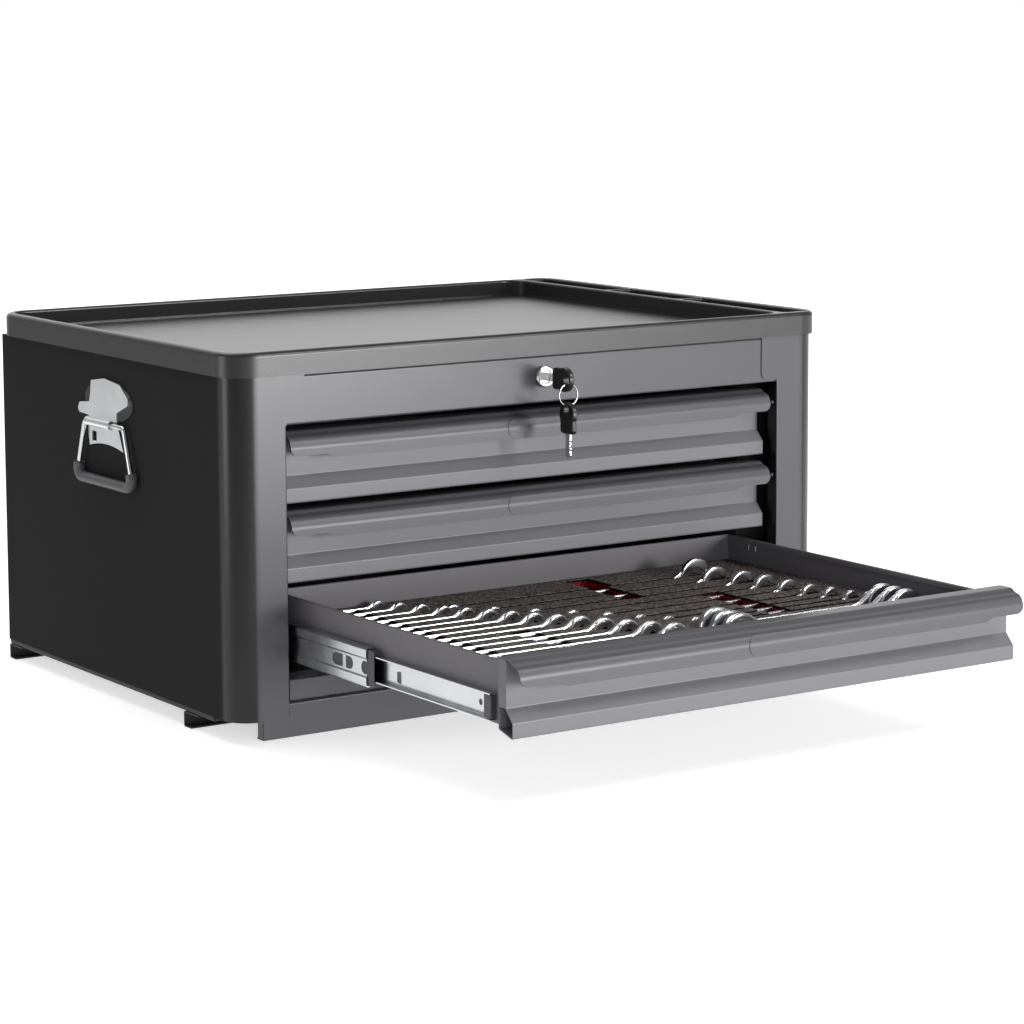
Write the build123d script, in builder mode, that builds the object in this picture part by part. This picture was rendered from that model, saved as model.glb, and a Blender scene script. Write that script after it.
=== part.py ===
"""Top tool box with three drawers, a tray top, a central lock and two drop handles.

Millimetres, +Z up, +X to the right seen from the front, +Y towards the back.
The origin is the middle of the back foot rail's underside.
The bottom drawer is modelled pulled out, the other two closed.
"""
from build123d import *
import math
import os

os.makedirs("parts", exist_ok=True)

# Cabinet body
body_width = 724.0
body_depth = 520.0
column_width = 59.0
body_top = 360.0
rail_height = 49.0
sill_top = 60.0
sill_bottom = 38.8
skirt_top = 35.0
panel_bottom = 21.5
pan_bottom = 16.0
sheet = 1.2
bend = 2.0
corner_radius = 28.0
column_return = 15.0
rail_return = 24.0
seam_gap = 0.3
tab_width = 20.5
tab_drop = 3.0
tab_radius = 8.0

# Feet and skirt
foot_sheet = 1.5
foot_flange = 15.0
foot_seat = 30.0
foot_inset = 1.0
front_foot_back = 112.5
skirt_inset = 34.0
skirt_setback = 8.0
skirt_return = 13.0
skirt_depth = 43.0
skirt_drop = 15.0
pan_edge = 24.0
pan_front_edge = 20.0
sill_return = 30.0
sill_hook = 20.0

# Slides
slide_pitch = 79.0
first_slide_drop = 58.0
slide_room = 120.0
slide_start = 55.0
slide_gap = 15.2
fixed_height = 45.7
fixed_reach = 10.5
middle_height = 37.4
middle_sheet = 1.0
middle_reach = 9.4
middle_short = 10.0
middle_lead = 6.5
moving_height = 25.2
moving_reach = 8.1
side_play = 0.5
cage_length = 100.0
cage_lead = 11.5
post_width = 40.0
post_flange = 14.0
front_post = 86.0
back_post_room = 90.0

# Drawers
open_short = 3.0
box_front = 38.0
box_room = 59.0
box_sheet = 1.0
box_drop = 15.5
box_rise = 43.0
hem_width = 3.6
hem_height = 5.0
front_play = 6.5
front_flat = 25.6
front_lip = 15.2
front_crease = 4.0
lip_top = -7.5
lip_bottom = -22.7
channel_bottom = -16.5
channel_top = 20.0
front_rise = 47.4
end_flange_bottom = -5.0
grip_side_play = 6.0
grip_sheet = 2.0
grip_front = 2.2
grip_bottom = 22.8
grip_end_bottom = 26.6
grip_end_length = 37.0
grip_step = 14.0
grip_corner = 8.0
pad_width = 86.0
pad_height = 19.5
pad_relief = 0.6

# Tray top
tray_overhang = 3.5
tray_height = 24.5
tray_corner = 31.0
tray_wall = 9.0
tray_floor = 6.0
tray_skin = 3.0
tray_ledge = 4.0
tray_ledge_rise = 1.2
tray_edge = 2.6
tray_round = 5.0
divider_inset = 48.0
divider_width = 6.0
pocket_wall = 12.0
pocket_corner = 6.0
pocket_ribs = [197.0, 335.0]
rib_cells_x = 5
rib_cells_y = 4
rib_width = 3.0

# Lock
lock_rise = 2.5
lock_flange_radius = 11.2
lock_flange = 5.0
lock_barrel_radius = 9.5
lock_barrel = 24.0
lock_flange_round = 1.6
lock_play = 0.25
nut_radius = 14.0
nut_height = 5.0
cylinder_radius = 7.0
cylinder_sink = 0.8
cylinder_tail = 2.0
cylinder_round = 0.8
rod_radius = 3.0
rod_play = 0.3
rod_room = 50.0
bracket_room = 75.0
bracket_flange = 14.0
bracket_width = 30.0
bracket_margin = 5.0
cam_sheet = 4.0
crank = 12.0
crank_pin = 2.5
crank_slack = 2.9
crank_past = 3.0
pin_play = 0.4
bar_width = 40.0
bar_sheet = 3.0
bar_room = 44.0
bar_bottom = 70.0
bar_rise = 8.0
bar_lift = 12.0
tongue_width = 16.0
tongue_height = 35.0
tongue_sheet = 2.0
tongue_room = 37.0
tongue_hook = 11.0
window_play = 0.6
window_side = 1.5
low_guide = 84.0
high_guide_drop = 32.0
guide_height = 12.0
guide_wall = 3.0
guide_play = 0.4

# Keys
key_head_length = 32.0
key_head_width = 25.0
key_head_sheet = 6.0
key_blade_width = 8.0
key_blade_sheet = 2.2
key_blade_length = 24.0
key_head_round = 1.5
key_head_corner = 4.0
key_hole = 5.0
key_hole_edge = 7.0
key_start = 18.0
key_tang = 8.0
key_cuts = [(8.5, 1.0), (12.5, 1.6), (17.5, 0.8)]
keyway_play = 0.1
ring_radius = 11.2
ring_wire = 0.7
ring_slack = 0.3

# Drop handles
barrel_drop = 71.0
barrel_standoff = 6.0
barrel_radius = 4.8
barrel_bore = 2.9
barrel_front = 246.0
barrel_back = 300.0
wire_radius = 2.6
bail_top_front = 219.0
bail_top_back = 307.0
bail_bottom_front = 198.0
bail_bottom_back = 325.0
bail_reach = 60.0
bail_lean = 1.0
bail_corner = 10.0
bail_shoulder = 7.0
bail_split = 2.0
grip_tube = 5.7
grip_play = 0.02
grip_leg_drop = 45.5
handle_sheet = 2.0
handle_backer = 0.8
backer_middle = 262.0
backer_rise = 23.0
backer_half_width = 54.0
backer_half_height = 21.0
plate_neck_front = 241.0
plate_neck_back = 303.0
lower_plate_front = 227.0
lower_plate_back = 303.0
lower_plate_drop = 8.0
lower_plate_reach = 26.0
lower_plate_arch = 4.5
plate_window = 10.0
plate_window_place = 292.0
plate_window_drop = 15.5

# Rivets
rivet_radius = 2.5
rivet_head = 1.1
rivet_rise = 35.0

# Inlay and wrenches of the bottom drawer
inlay_gap = 0.6
inlay_base = 5.0
inlay_top = 15.5
slot_gap = 0.5
slot_floor = 0.3
ring_sink = 2.0
open_sink = 1.0
shank_share = 0.42
shank_rise = 1.5
back_shank_sink = 3.0
bore_share = 0.62
jaw_share = 0.5
drawn_opening_x = 303.0
row_count = 14
row_first = 16.0
row_pitch = 22.2
row_start = -278.0
row_reach = [-164.0, 1.0]
row_head = [17.0, 30.0]
back_row_sheet = 6.0
back_ring_rise = 3.0
back_rows = [
    (59.0, -122.0, 219.0, 23.0, 42.0, 3.0),
    (92.0, -94.0, 218.0, 23.0, 38.0, 5.0),
    (124.0, -65.0, 229.0, 21.0, 36.0, 5.0),
    (153.0, -38.0, 233.0, 20.0, 31.0, 3.0),
    (182.0, -15.0, 238.0, 19.0, 27.0, 2.5),
    (211.0, 5.0, 243.0, 18.0, 25.0, 3.0),
    (234.0, 23.0, 251.0, 17.0, 22.0, 2.0),
    (254.0, 43.0, 260.0, 16.0, 20.0, 2.5),
    (272.0, 62.0, 267.0, 15.0, 18.0, 1.0),
]
large_row = [290.0, 308.0, 326.0]
large_left = 27.0
large_right = 282.0
large_head = 42.0
large_sheet = 8.0
finger_grooves = [
    (-218.0, -198.0, 313.0, 9.0),
    (-138.0, -114.0, 292.0, 200.0),
    (56.0, 82.0, 130.0, 60.0),
    (60.0, 92.0, 60.0, 9.0),
    (131.0, 160.0, 270.0, 147.0),
]

# Derived places
back_y = foot_flange / 2
front_y = back_y - body_depth
side_x = body_width / 2
opening_width = body_width - 2 * column_width
opening_x = opening_width / 2
tool_spread = opening_x / drawn_opening_x
opening_top = body_top - rail_height
first_slide = opening_top - first_slide_drop
lock_height = (opening_top + body_top) / 2 + lock_rise
bar_top = lock_height + bar_rise
guide_places = [low_guide, lock_height - high_guide_drop]
front_width = opening_width - 2 * front_play
grip_width = opening_width - 2 * grip_side_play
divider_left = side_x - divider_inset
slide_length = body_depth - slide_room
middle_length = slide_length - middle_short
full_travel = slide_length
open_travel = full_travel - open_short
back_post = body_depth - back_post_room
box_back = body_depth - box_room
rod_end = body_depth - rod_room
bracket_place = body_depth - bracket_room
bar_front = body_depth - bar_room
tongue_end = body_depth - tongue_room
barrel_height = body_top - barrel_drop
bail_bottom = barrel_height - bail_reach
grip_leg_top = barrel_height - grip_leg_drop
backer_height = barrel_height + backer_rise
lower_plate_top = barrel_height - lower_plate_drop
lower_plate_bottom = barrel_height - lower_plate_reach
plate_window_height = barrel_height - plate_window_drop
slide_x = opening_x - 2.5
box_x = slide_x - slide_gap + 2.5
slide_heights = [first_slide - slide_pitch * n for n in range(3)]
drawer_shift = [0.0, 0.0, -open_travel]


def depth(from_front):
    """Y of a place given by its distance behind the front face."""
    return front_y + from_front


def at_depth(from_front):
    """Upright plane across the box, at a distance behind the front face."""
    return Plane.XZ.offset(-depth(from_front))


def folded(points, radii, side, thickness=sheet):
    """Section of a folded sheet: the points are the corners of one of its faces."""
    with BuildSketch() as section:
        with BuildLine():
            FilletPolyline(*points, radius=radii)
            offset(amount=thickness, side=side)
        make_face()
    return section.sketch


def block(x_range, y_range, z_range):
    """Plain box between two corners."""
    sizes = [high - low for low, high in (x_range, y_range, z_range)]
    middles = [(high + low) / 2 for low, high in (x_range, y_range, z_range)]
    with BuildPart() as solid:
        with Locations(tuple(middles)):
            Box(*sizes)
    return solid.part


# Side panels: flat side, rounded front column, return flange at the opening, tab over the top rail
column_top = opening_top - seam_gap
with BuildPart() as side_panel_left:
    with BuildSketch(Plane.XY.offset(panel_bottom)):
        add(
            folded(
                [
                    (-opening_x, depth(column_return)),
                    (-opening_x, front_y),
                    (-side_x, front_y),
                    (-side_x, back_y),
                    (-side_x + column_return, back_y),
                ],
                [bend, corner_radius, bend],
                Side.RIGHT,
            )
        )
    extrude(amount=column_top - panel_bottom)
    with BuildSketch(Plane.XY.offset(column_top)):
        add(
            folded(
                [
                    (-opening_x + tab_width, front_y),
                    (-side_x, front_y),
                    (-side_x, back_y),
                    (-side_x + column_return, back_y),
                ],
                [corner_radius, bend],
                Side.RIGHT,
            )
        )
    extrude(amount=body_top - column_top)
    with BuildSketch(at_depth(-1)):
        with Locations((-opening_x + tab_width / 2, opening_top)):
            Rectangle(tab_width, 2 * tab_drop)
    extrude(amount=-3 * sheet, mode=Mode.SUBTRACT)
    with BuildSketch(Plane.XY.offset(panel_bottom - 1)):
        with Locations((-opening_x, depth(skirt_setback + column_return) - seam_gap)):
            Rectangle(2 * column_return, 2 * column_return)
    extrude(amount=sill_bottom - panel_bottom + 1, mode=Mode.SUBTRACT)
    tab_edges = side_panel_left.edges().filter_by(Axis.Y)
    tab_edges = tab_edges.filter_by_position(Axis.Z, opening_top + tab_drop - 0.1, opening_top + tab_drop + 0.1)
    fillet(tab_edges.sort_by(Axis.X)[-1], radius=tab_radius)
side_panel_left.part.label = "side_panel_left"
export_step(side_panel_left.part, "parts/side_panel_left.step")

with BuildPart() as side_panel_right:
    mirror(side_panel_left.part, about=Plane.YZ)
side_panel_right.part.label = "side_panel_right"
export_step(side_panel_right.part, "parts/side_panel_right.step")

# Back sheet, held inside the side panels' back flanges
pan_top = pan_bottom + sheet
cover_bottom = body_top - sheet
with BuildPart() as back_panel:
    with BuildSketch(Plane.YZ.offset(-side_x + sheet + bend)):
        add(
            folded(
                [
                    (back_y - column_return, pan_top),
                    (back_y - sheet, pan_top),
                    (back_y - sheet, cover_bottom),
                    (back_y - column_return, cover_bottom),
                ],
                [bend, bend],
                Side.LEFT,
            )
        )
    extrude(amount=body_width - 2 * sheet - 2 * bend)
back_panel.part.label = "back_panel"
export_step(back_panel.part, "parts/back_panel.step")

# Bottom pan, with upturned edges inside the side panels
pan_front = skirt_setback + skirt_depth
with BuildPart() as bottom_pan:
    with BuildSketch(Plane.XZ.offset(-(back_y - bend))):
        add(
            folded(
                [
                    (-side_x + sheet, pan_bottom + pan_edge),
                    (-side_x + sheet, pan_bottom),
                    (side_x - sheet, pan_bottom),
                    (side_x - sheet, pan_bottom + pan_edge),
                ],
                [bend, bend],
                Side.LEFT,
            )
        )
    extrude(amount=body_depth - bend - pan_front)
    add(
        block(
            (-side_x + sheet + bend, side_x - sheet - bend),
            (depth(pan_front), depth(pan_front + sheet)),
            (pan_bottom, pan_bottom + pan_front_edge),
        )
    )
bottom_pan.part.label = "bottom_pan"
export_step(bottom_pan.part, "parts/bottom_pan.step")

# Steel top sheet under the tray
with BuildPart() as top_panel:
    with BuildSketch(Plane.XY.offset(cover_bottom)) as cover:
        with Locations((0, (depth(2.2 * sheet) + back_y - sheet) / 2)):
            Rectangle(body_width - 2.8 * sheet, body_depth - 3.2 * sheet)
        fillet(cover.vertices().group_by(Axis.Y)[0], radius=corner_radius - sheet)
    extrude(amount=sheet)
top_panel.part.label = "top_panel"
export_step(top_panel.part, "parts/top_panel.step")

# Top rail behind the column tabs, with the lock hole
rail_half = side_x - corner_radius - 2 * bend
with BuildPart() as top_rail:
    with BuildSketch(Plane.YZ.offset(-rail_half)):
        add(
            folded(
                [
                    (depth(rail_return), opening_top),
                    (depth(sheet), opening_top),
                    (depth(sheet), cover_bottom),
                    (depth(rail_return), cover_bottom),
                ],
                [bend, bend],
                Side.RIGHT,
            )
        )
    extrude(amount=2 * rail_half)
    with BuildSketch(at_depth(-1)):
        with Locations((0, lock_height)):
            Circle(lock_barrel_radius + 0.1)
    extrude(amount=-4 * sheet, mode=Mode.SUBTRACT)
top_rail.part.label = "top_rail"
export_step(top_rail.part, "parts/top_rail.step")

# Sill rail under the bottom drawer, hooked onto the skirt's top
with BuildPart() as lower_rail:
    with BuildSketch(Plane.YZ.offset(-opening_x)):
        add(
            folded(
                [
                    (depth(sill_return), sill_top),
                    (depth(0), sill_top),
                    (depth(0), sill_bottom),
                    (depth(sill_hook), sill_bottom),
                    (depth(sill_hook), skirt_top + seam_gap),
                ],
                [bend, bend, sheet],
                Side.LEFT,
            )
        )
    extrude(amount=opening_width)
lower_rail.part.label = "lower_rail"
export_step(lower_rail.part, "parts/lower_rail.step")

# Base skirt, standing on its bottom flange
skirt_half = side_x - skirt_inset
with BuildPart() as front_skirt:
    with BuildSketch(Plane.YZ.offset(-skirt_half)):
        add(
            folded(
                [
                    (depth(skirt_setback + foot_flange), 0),
                    (depth(skirt_setback), 0),
                    (depth(skirt_setback), skirt_top),
                    (depth(pan_front), skirt_top),
                    (depth(pan_front), skirt_top - skirt_drop),
                ],
                [bend, bend, bend],
                Side.RIGHT,
            )
        )
    extrude(amount=2 * skirt_half)
    for side in (-1, 1):
        end = sorted((side * skirt_half, side * (skirt_half - sheet)))
        add(
            block(
                end,
                (depth(skirt_setback + bend), depth(skirt_setback + skirt_return)),
                (0, skirt_top - sheet / 2),
            )
        )
front_skirt.part.label = "front_skirt"
export_step(front_skirt.part, "parts/front_skirt.step")


def foot_rail(back_face):
    """Channel along X that carries the pan: floor flange, web and top flange."""
    points = [
        (back_face - foot_flange, 0),
        (back_face, 0),
        (back_face, pan_bottom),
        (back_face - foot_seat, pan_bottom),
    ]
    with BuildPart() as rail:
        with BuildSketch(Plane.YZ.offset(-side_x + foot_inset)):
            add(folded(points, [bend, bend], Side.LEFT, foot_sheet))
        extrude(amount=body_width - 2 * foot_inset)
    return rail.part


with BuildPart() as back_foot_rail:
    add(foot_rail(back_y))
back_foot_rail.part.label = "back_foot_rail"
export_step(back_foot_rail.part, "parts/back_foot_rail.step")

with BuildPart() as front_foot_rail:
    add(foot_rail(depth(front_foot_back)))
front_foot_rail.part.label = "front_foot_rail"
export_step(front_foot_rail.part, "parts/front_foot_rail.step")

# Hat-section posts between the pan and the top sheet
post_face = -slide_x - sheet
post_root = -side_x + sheet
post_low = pan_bottom + pan_edge + seam_gap
with BuildPart() as slide_posts_left:
    for middle in (front_post, back_post):
        near = depth(middle - post_width / 2)
        far = depth(middle + post_width / 2)
        with BuildSketch(Plane.XY.offset(post_low)):
            add(
                folded(
                    [
                        (post_root, near - post_flange),
                        (post_root, near),
                        (post_face, near),
                        (post_face, far),
                        (post_root, far),
                        (post_root, far + post_flange),
                    ],
                    [bend, bend, bend, bend],
                    Side.RIGHT,
                )
            )
        extrude(amount=cover_bottom - post_low)
slide_posts_left.part.label = "slide_posts_left"
export_step(slide_posts_left.part, "parts/slide_posts_left.step")

with BuildPart() as slide_posts_right:
    mirror(slide_posts_left.part, about=Plane.YZ)
slide_posts_right.part.label = "slide_posts_right"
export_step(slide_posts_right.part, "parts/slide_posts_right.step")

# Fixed members of the slides, one over the other on the posts
with BuildPart() as cabinet_slides_left:
    for height in slide_heights:
        top = height + fixed_height / 2
        low = height - fixed_height / 2
        with BuildSketch(at_depth(slide_start + slide_length)):
            add(
                folded(
                    [
                        (-slide_x + fixed_reach, top),
                        (-slide_x, top),
                        (-slide_x, low),
                        (-slide_x + fixed_reach, low),
                    ],
                    [bend, bend],
                    Side.LEFT,
                )
            )
        extrude(amount=slide_length)
cabinet_slides_left.part.label = "cabinet_slides_left"
export_step(cabinet_slides_left.part, "parts/cabinet_slides_left.step")

with BuildPart() as cabinet_slides_right:
    mirror(cabinet_slides_left.part, about=Plane.YZ)
cabinet_slides_right.part.label = "cabinet_slides_right"
export_step(cabinet_slides_right.part, "parts/cabinet_slides_right.step")

# Middle slide member: raised bands above and below a recessed middle, oval window and end notch
middle_x = -slide_x + sheet + side_play
band = 9.6
band_slope = 1.6
band_step = 0.8
window_start = 25.0
window_length = 38.0
window_height = 12.0
window_rib = 6.0
window_rib_place = 41.0
notch_radius = 6.5


def middle_member(height, shift):
    """Left middle member, closed place plus the shift along Y."""
    front = slide_start + middle_lead
    half = middle_height / 2
    points = [
        (middle_x + middle_reach, height + half),
        (middle_x, height + half),
        (middle_x, height + band),
        (middle_x + band_step, height + band - band_slope),
        (middle_x + band_step, height - band + band_slope),
        (middle_x, height - band),
        (middle_x, height - half),
        (middle_x + middle_reach, height - half),
    ]
    with BuildPart() as member:
        with BuildSketch(Plane.XZ.offset(-depth(front + middle_length) - shift)):
            add(folded(points, [bend, 1.3, 1.3, 1.3, 1.3, bend], Side.LEFT, middle_sheet))
        extrude(amount=middle_length)
        nose = depth(front) + shift
        with BuildSketch(Plane.YZ.offset(middle_x - 1)):
            with Locations((nose + window_start + window_length / 2, height)):
                SlotOverall(window_length, window_height)
            with Locations((nose + window_rib_place, height)):
                Rectangle(window_rib, window_height, mode=Mode.SUBTRACT)
            with Locations((nose + notch_radius / 2, height)):
                Circle(notch_radius)
        extrude(amount=4 * middle_sheet, mode=Mode.SUBTRACT)
    return member.part


# Moving slide member, screwed to the drawer's side
moving_x = -box_x
hole_place = 25.0
hole_radius = 3.0
latch_place = 162.0
latch_size = 10.0


def moving_member(height, shift):
    """Left moving member, open towards the cabinet side."""
    half = moving_height / 2
    points = [
        (moving_x - moving_reach, height + half),
        (moving_x, height + half),
        (moving_x, height - half),
        (moving_x - moving_reach, height - half),
    ]
    front = slide_start - 2
    with BuildPart() as member:
        with BuildSketch(Plane.XZ.offset(-depth(front + slide_length) - shift)):
            add(folded(points, [bend, bend], Side.RIGHT))
        extrude(amount=slide_length)
        nose = depth(front) + shift
        with BuildSketch(Plane.YZ.offset(moving_x - 2 * sheet)):
            with Locations((nose + hole_place, height)):
                Circle(hole_radius)
            with Locations((nose + latch_place, height - latch_size / 4)):
                SlotOverall(latch_size + 2, latch_size / 2, rotation=90)
            with Locations((nose + latch_place + latch_size / 4, height - latch_size / 4)):
                Rectangle(latch_size / 2, latch_size)
        extrude(amount=4 * sheet, mode=Mode.SUBTRACT)
    return member.part


# Ball cages: a U-shaped inner cage at the front end, two outer strips further back
cage_x = middle_x + band_step + middle_sheet
cage_web = 0.7
cage_outer = middle_height / 2 - middle_sheet - 0.4
cage_inner = moving_height / 2 + side_play
strip_length = 140.0
strip_start = 260.0
strip_height = 2.6
bumper_length = 11.0


def cages(height, shift):
    """Left ball cages, which ride with the middle member."""
    front = slide_start + middle_lead - cage_lead
    with BuildPart() as cage:
        with BuildSketch(Plane.XZ.offset(-depth(front + cage_length) - shift)):
            with Locations((cage_x, height)):
                Rectangle(6.5, 2 * cage_outer, align=(Align.MIN, Align.CENTER))
            with Locations((cage_x + cage_web, height)):
                Rectangle(6.5, 2 * cage_inner, align=(Align.MIN, Align.CENTER), mode=Mode.SUBTRACT)
        extrude(amount=cage_length)
        for side in (-1, 1):
            strip = height + side * (middle_height / 2 + strip_height / 2)
            with BuildSketch(Plane.XZ.offset(-depth(strip_start + strip_length) - shift)):
                with Locations((middle_x + bend, strip)):
                    Rectangle(middle_reach - 2 * bend, strip_height, align=(Align.MIN, Align.CENTER))
            extrude(amount=strip_length)
    return cage.part


def bumper(height, shift):
    """Left end bumper inside the moving member's front end."""
    front = depth(slide_start - 2) + shift
    rise = moving_height / 2 - bend - 0.2
    return block(
        (moving_x - moving_reach + 1, moving_x - sheet),
        (front, front + bumper_length),
        (height - rise, height + rise),
    )


# Drawer box: folded sheet with a rolled top edge and a lock tongue at the back
corner_soft = 1.2
wall_slot = [38.0, 50.0]
lock_hook_bottom = tongue_height - tongue_hook


def drawer_box(height, shift):
    """Open box with walls of thin sheet."""
    low = height - box_drop
    top = height + box_rise
    front = depth(box_front) + shift
    back = depth(box_back) + shift
    middle = (front + back) / 2
    length = back - front
    with BuildPart() as box:
        with BuildSketch(Plane.XY.offset(low)):
            with Locations((0, middle)):
                RectangleRounded(2 * box_x, length, corner_soft)
        extrude(amount=top - low)
        with BuildSketch(Plane.XY.offset(low + box_sheet)):
            with Locations((0, middle)):
                Rectangle(2 * (box_x - box_sheet), length - 2 * box_sheet)
        extrude(amount=top - low, mode=Mode.SUBTRACT)
        with BuildSketch(Plane.XY.offset(top - hem_height)):
            with Locations((0, middle)):
                RectangleRounded(2 * box_x, length, corner_soft)
                Rectangle(2 * (box_x - hem_width), length - 2 * hem_width, mode=Mode.SUBTRACT)
        extrude(amount=hem_height)
        rims = box.faces().filter_by(Axis.Z).sort_by(Axis.Z)[-1].edges()
        fillet(rims, radius=hem_width / 2 - 0.1)
        for place in wall_slot:
            add(
                block(
                    (box_x - 2 * box_sheet, box_x + 1),
                    (back - place - 1, back - place + 1),
                    (top - hem_height - 8, top - hem_height - 2),
                ),
                mode=Mode.SUBTRACT,
            )
        tongue_top = height + tongue_height
        add(
            block(
                (-tongue_width / 2, tongue_width / 2),
                (back - box_sheet / 2, depth(tongue_end) + shift),
                (tongue_top - tongue_sheet, tongue_top),
            )
        )
        add(
            block(
                (-tongue_width / 2, tongue_width / 2),
                (depth(tongue_end) - tongue_sheet + shift, depth(tongue_end) + shift),
                (tongue_top - tongue_hook, tongue_top),
            )
        )
    return box.part


def drawer_front(height, shift):
    """Folded front: upright flat, slope, lip and an open-ended channel behind the lip."""
    base = front_y + shift
    points = [
        (base + box_front, height + channel_top),
        (base + box_front, height + channel_bottom),
        (base + front_lip, height + lip_bottom),
        (base + front_lip, height + lip_top),
        (base + front_flat, height + front_crease),
        (base + front_flat, height + front_rise),
        (base + box_front - 1, height + front_rise),
    ]
    with BuildPart() as front:
        with BuildSketch(Plane.YZ.offset(-front_width / 2)):
            add(folded(points, [bend, bend, bend, bend, bend], Side.LEFT))
        extrude(amount=front_width)
        for side in (-1, 1):
            end = sorted((side * front_width / 2, side * (front_width / 2 - sheet)))
            add(
                block(
                    end,
                    (base + front_flat + sheet / 2, base + box_front),
                    (height + front_crease, height + front_rise - sheet / 2),
                )
            )
    return front.part


def grip_path(height, shift):
    """Corners of the grip's outer face: flat top, dip, curl and front."""
    base = front_y + shift
    return [
        (base + box_front - 2, height + front_rise + grip_sheet),
        (base + 19, height + front_rise + grip_sheet),
        (base + 15.4, height + front_rise - 1.2),
        (base + 6, height + front_rise - 3.8),
        (base + grip_front, height + front_rise - 12.4),
        (base + grip_front, height + grip_bottom),
    ]


grip_radii = [7.0, 8.0, 9.0, 12.0]


def drawer_grip(height, shift):
    """Curled strip over the front's whole width, with a bare oval pad in the middle."""
    points = grip_path(height, shift)
    base = front_y + shift
    half = grip_width / 2
    with BuildPart() as pad:
        with BuildSketch(Plane.YZ.offset(-pad_width / 2)):
            add(folded(points, grip_radii, Side.RIGHT, pad_relief))
        extrude(amount=pad_width)
        with BuildSketch(Plane.XZ.offset(-base + 5)):
            with Locations((0, height + grip_bottom + pad_height / 2 + 0.6)):
                SlotOverall(pad_width, pad_height)
        extrude(amount=-20, mode=Mode.INTERSECT)
    with BuildPart() as grip:
        with BuildSketch(Plane.YZ.offset(-half)):
            add(folded(points, grip_radii, Side.LEFT, grip_sheet))
        extrude(amount=grip_width)
        for side in (-1, 1):
            step_start = half - grip_end_length - grip_step
            step_end = half - grip_end_length
            with BuildSketch(Plane.XZ.offset(-base + 5)):
                with BuildLine():
                    Spline(
                        (side * step_start, height + grip_bottom),
                        (side * step_end, height + grip_end_bottom),
                        tangents=((side, 0), (side, 0)),
                    )
                    Line(
                        (side * step_end, height + grip_end_bottom),
                        (side * (half - grip_corner), height + grip_end_bottom),
                    )
                    RadiusArc(
                        (side * (half - grip_corner), height + grip_end_bottom),
                        (side * half, height + grip_end_bottom + grip_corner),
                        -side * grip_corner,
                    )
                    Polyline(
                        (side * half, height + grip_end_bottom + grip_corner),
                        (side * (half + 2), height + grip_end_bottom + grip_corner),
                        (side * (half + 2), height + grip_bottom - 2),
                        (side * step_start, height + grip_bottom - 2),
                        (side * step_start, height + grip_bottom),
                    )
                make_face()
            extrude(amount=-15, mode=Mode.SUBTRACT)
        add(pad.part)
    return grip.part


for number, (height, shift) in enumerate(zip(slide_heights, drawer_shift), start=1):
    with BuildPart() as middle_slides:
        add(middle_member(height, shift / 2))
        mirror(about=Plane.YZ)
    middle_slides.part.label = f"middle_slides_{number}"
    export_step(middle_slides.part, f"parts/middle_slides_{number}.step")

    with BuildPart() as ball_cages:
        add(cages(height, shift / 2))
        mirror(about=Plane.YZ)
    ball_cages.part.label = f"ball_cages_{number}"
    export_step(ball_cages.part, f"parts/ball_cages_{number}.step")

    with BuildPart() as drawer_slides:
        add(moving_member(height, shift))
        mirror(about=Plane.YZ)
    drawer_slides.part.label = f"drawer_slides_{number}"
    export_step(drawer_slides.part, f"parts/drawer_slides_{number}.step")

    with BuildPart() as slide_bumpers:
        add(bumper(height, shift))
        mirror(about=Plane.YZ)
    slide_bumpers.part.label = f"slide_bumpers_{number}"
    export_step(slide_bumpers.part, f"parts/slide_bumpers_{number}.step")

    with BuildPart() as box_of_drawer:
        add(drawer_box(height, shift))
    box_of_drawer.part.label = f"drawer_box_{number}"
    export_step(box_of_drawer.part, f"parts/drawer_box_{number}.step")

    with BuildPart() as front_of_drawer:
        add(drawer_front(height, shift))
    front_of_drawer.part.label = f"drawer_front_{number}"
    export_step(front_of_drawer.part, f"parts/drawer_front_{number}.step")

    with BuildPart() as grip_of_drawer:
        add(drawer_grip(height, shift))
    grip_of_drawer.part.label = f"drawer_grip_{number}"
    export_step(grip_of_drawer.part, f"parts/drawer_grip_{number}.step")

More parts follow.
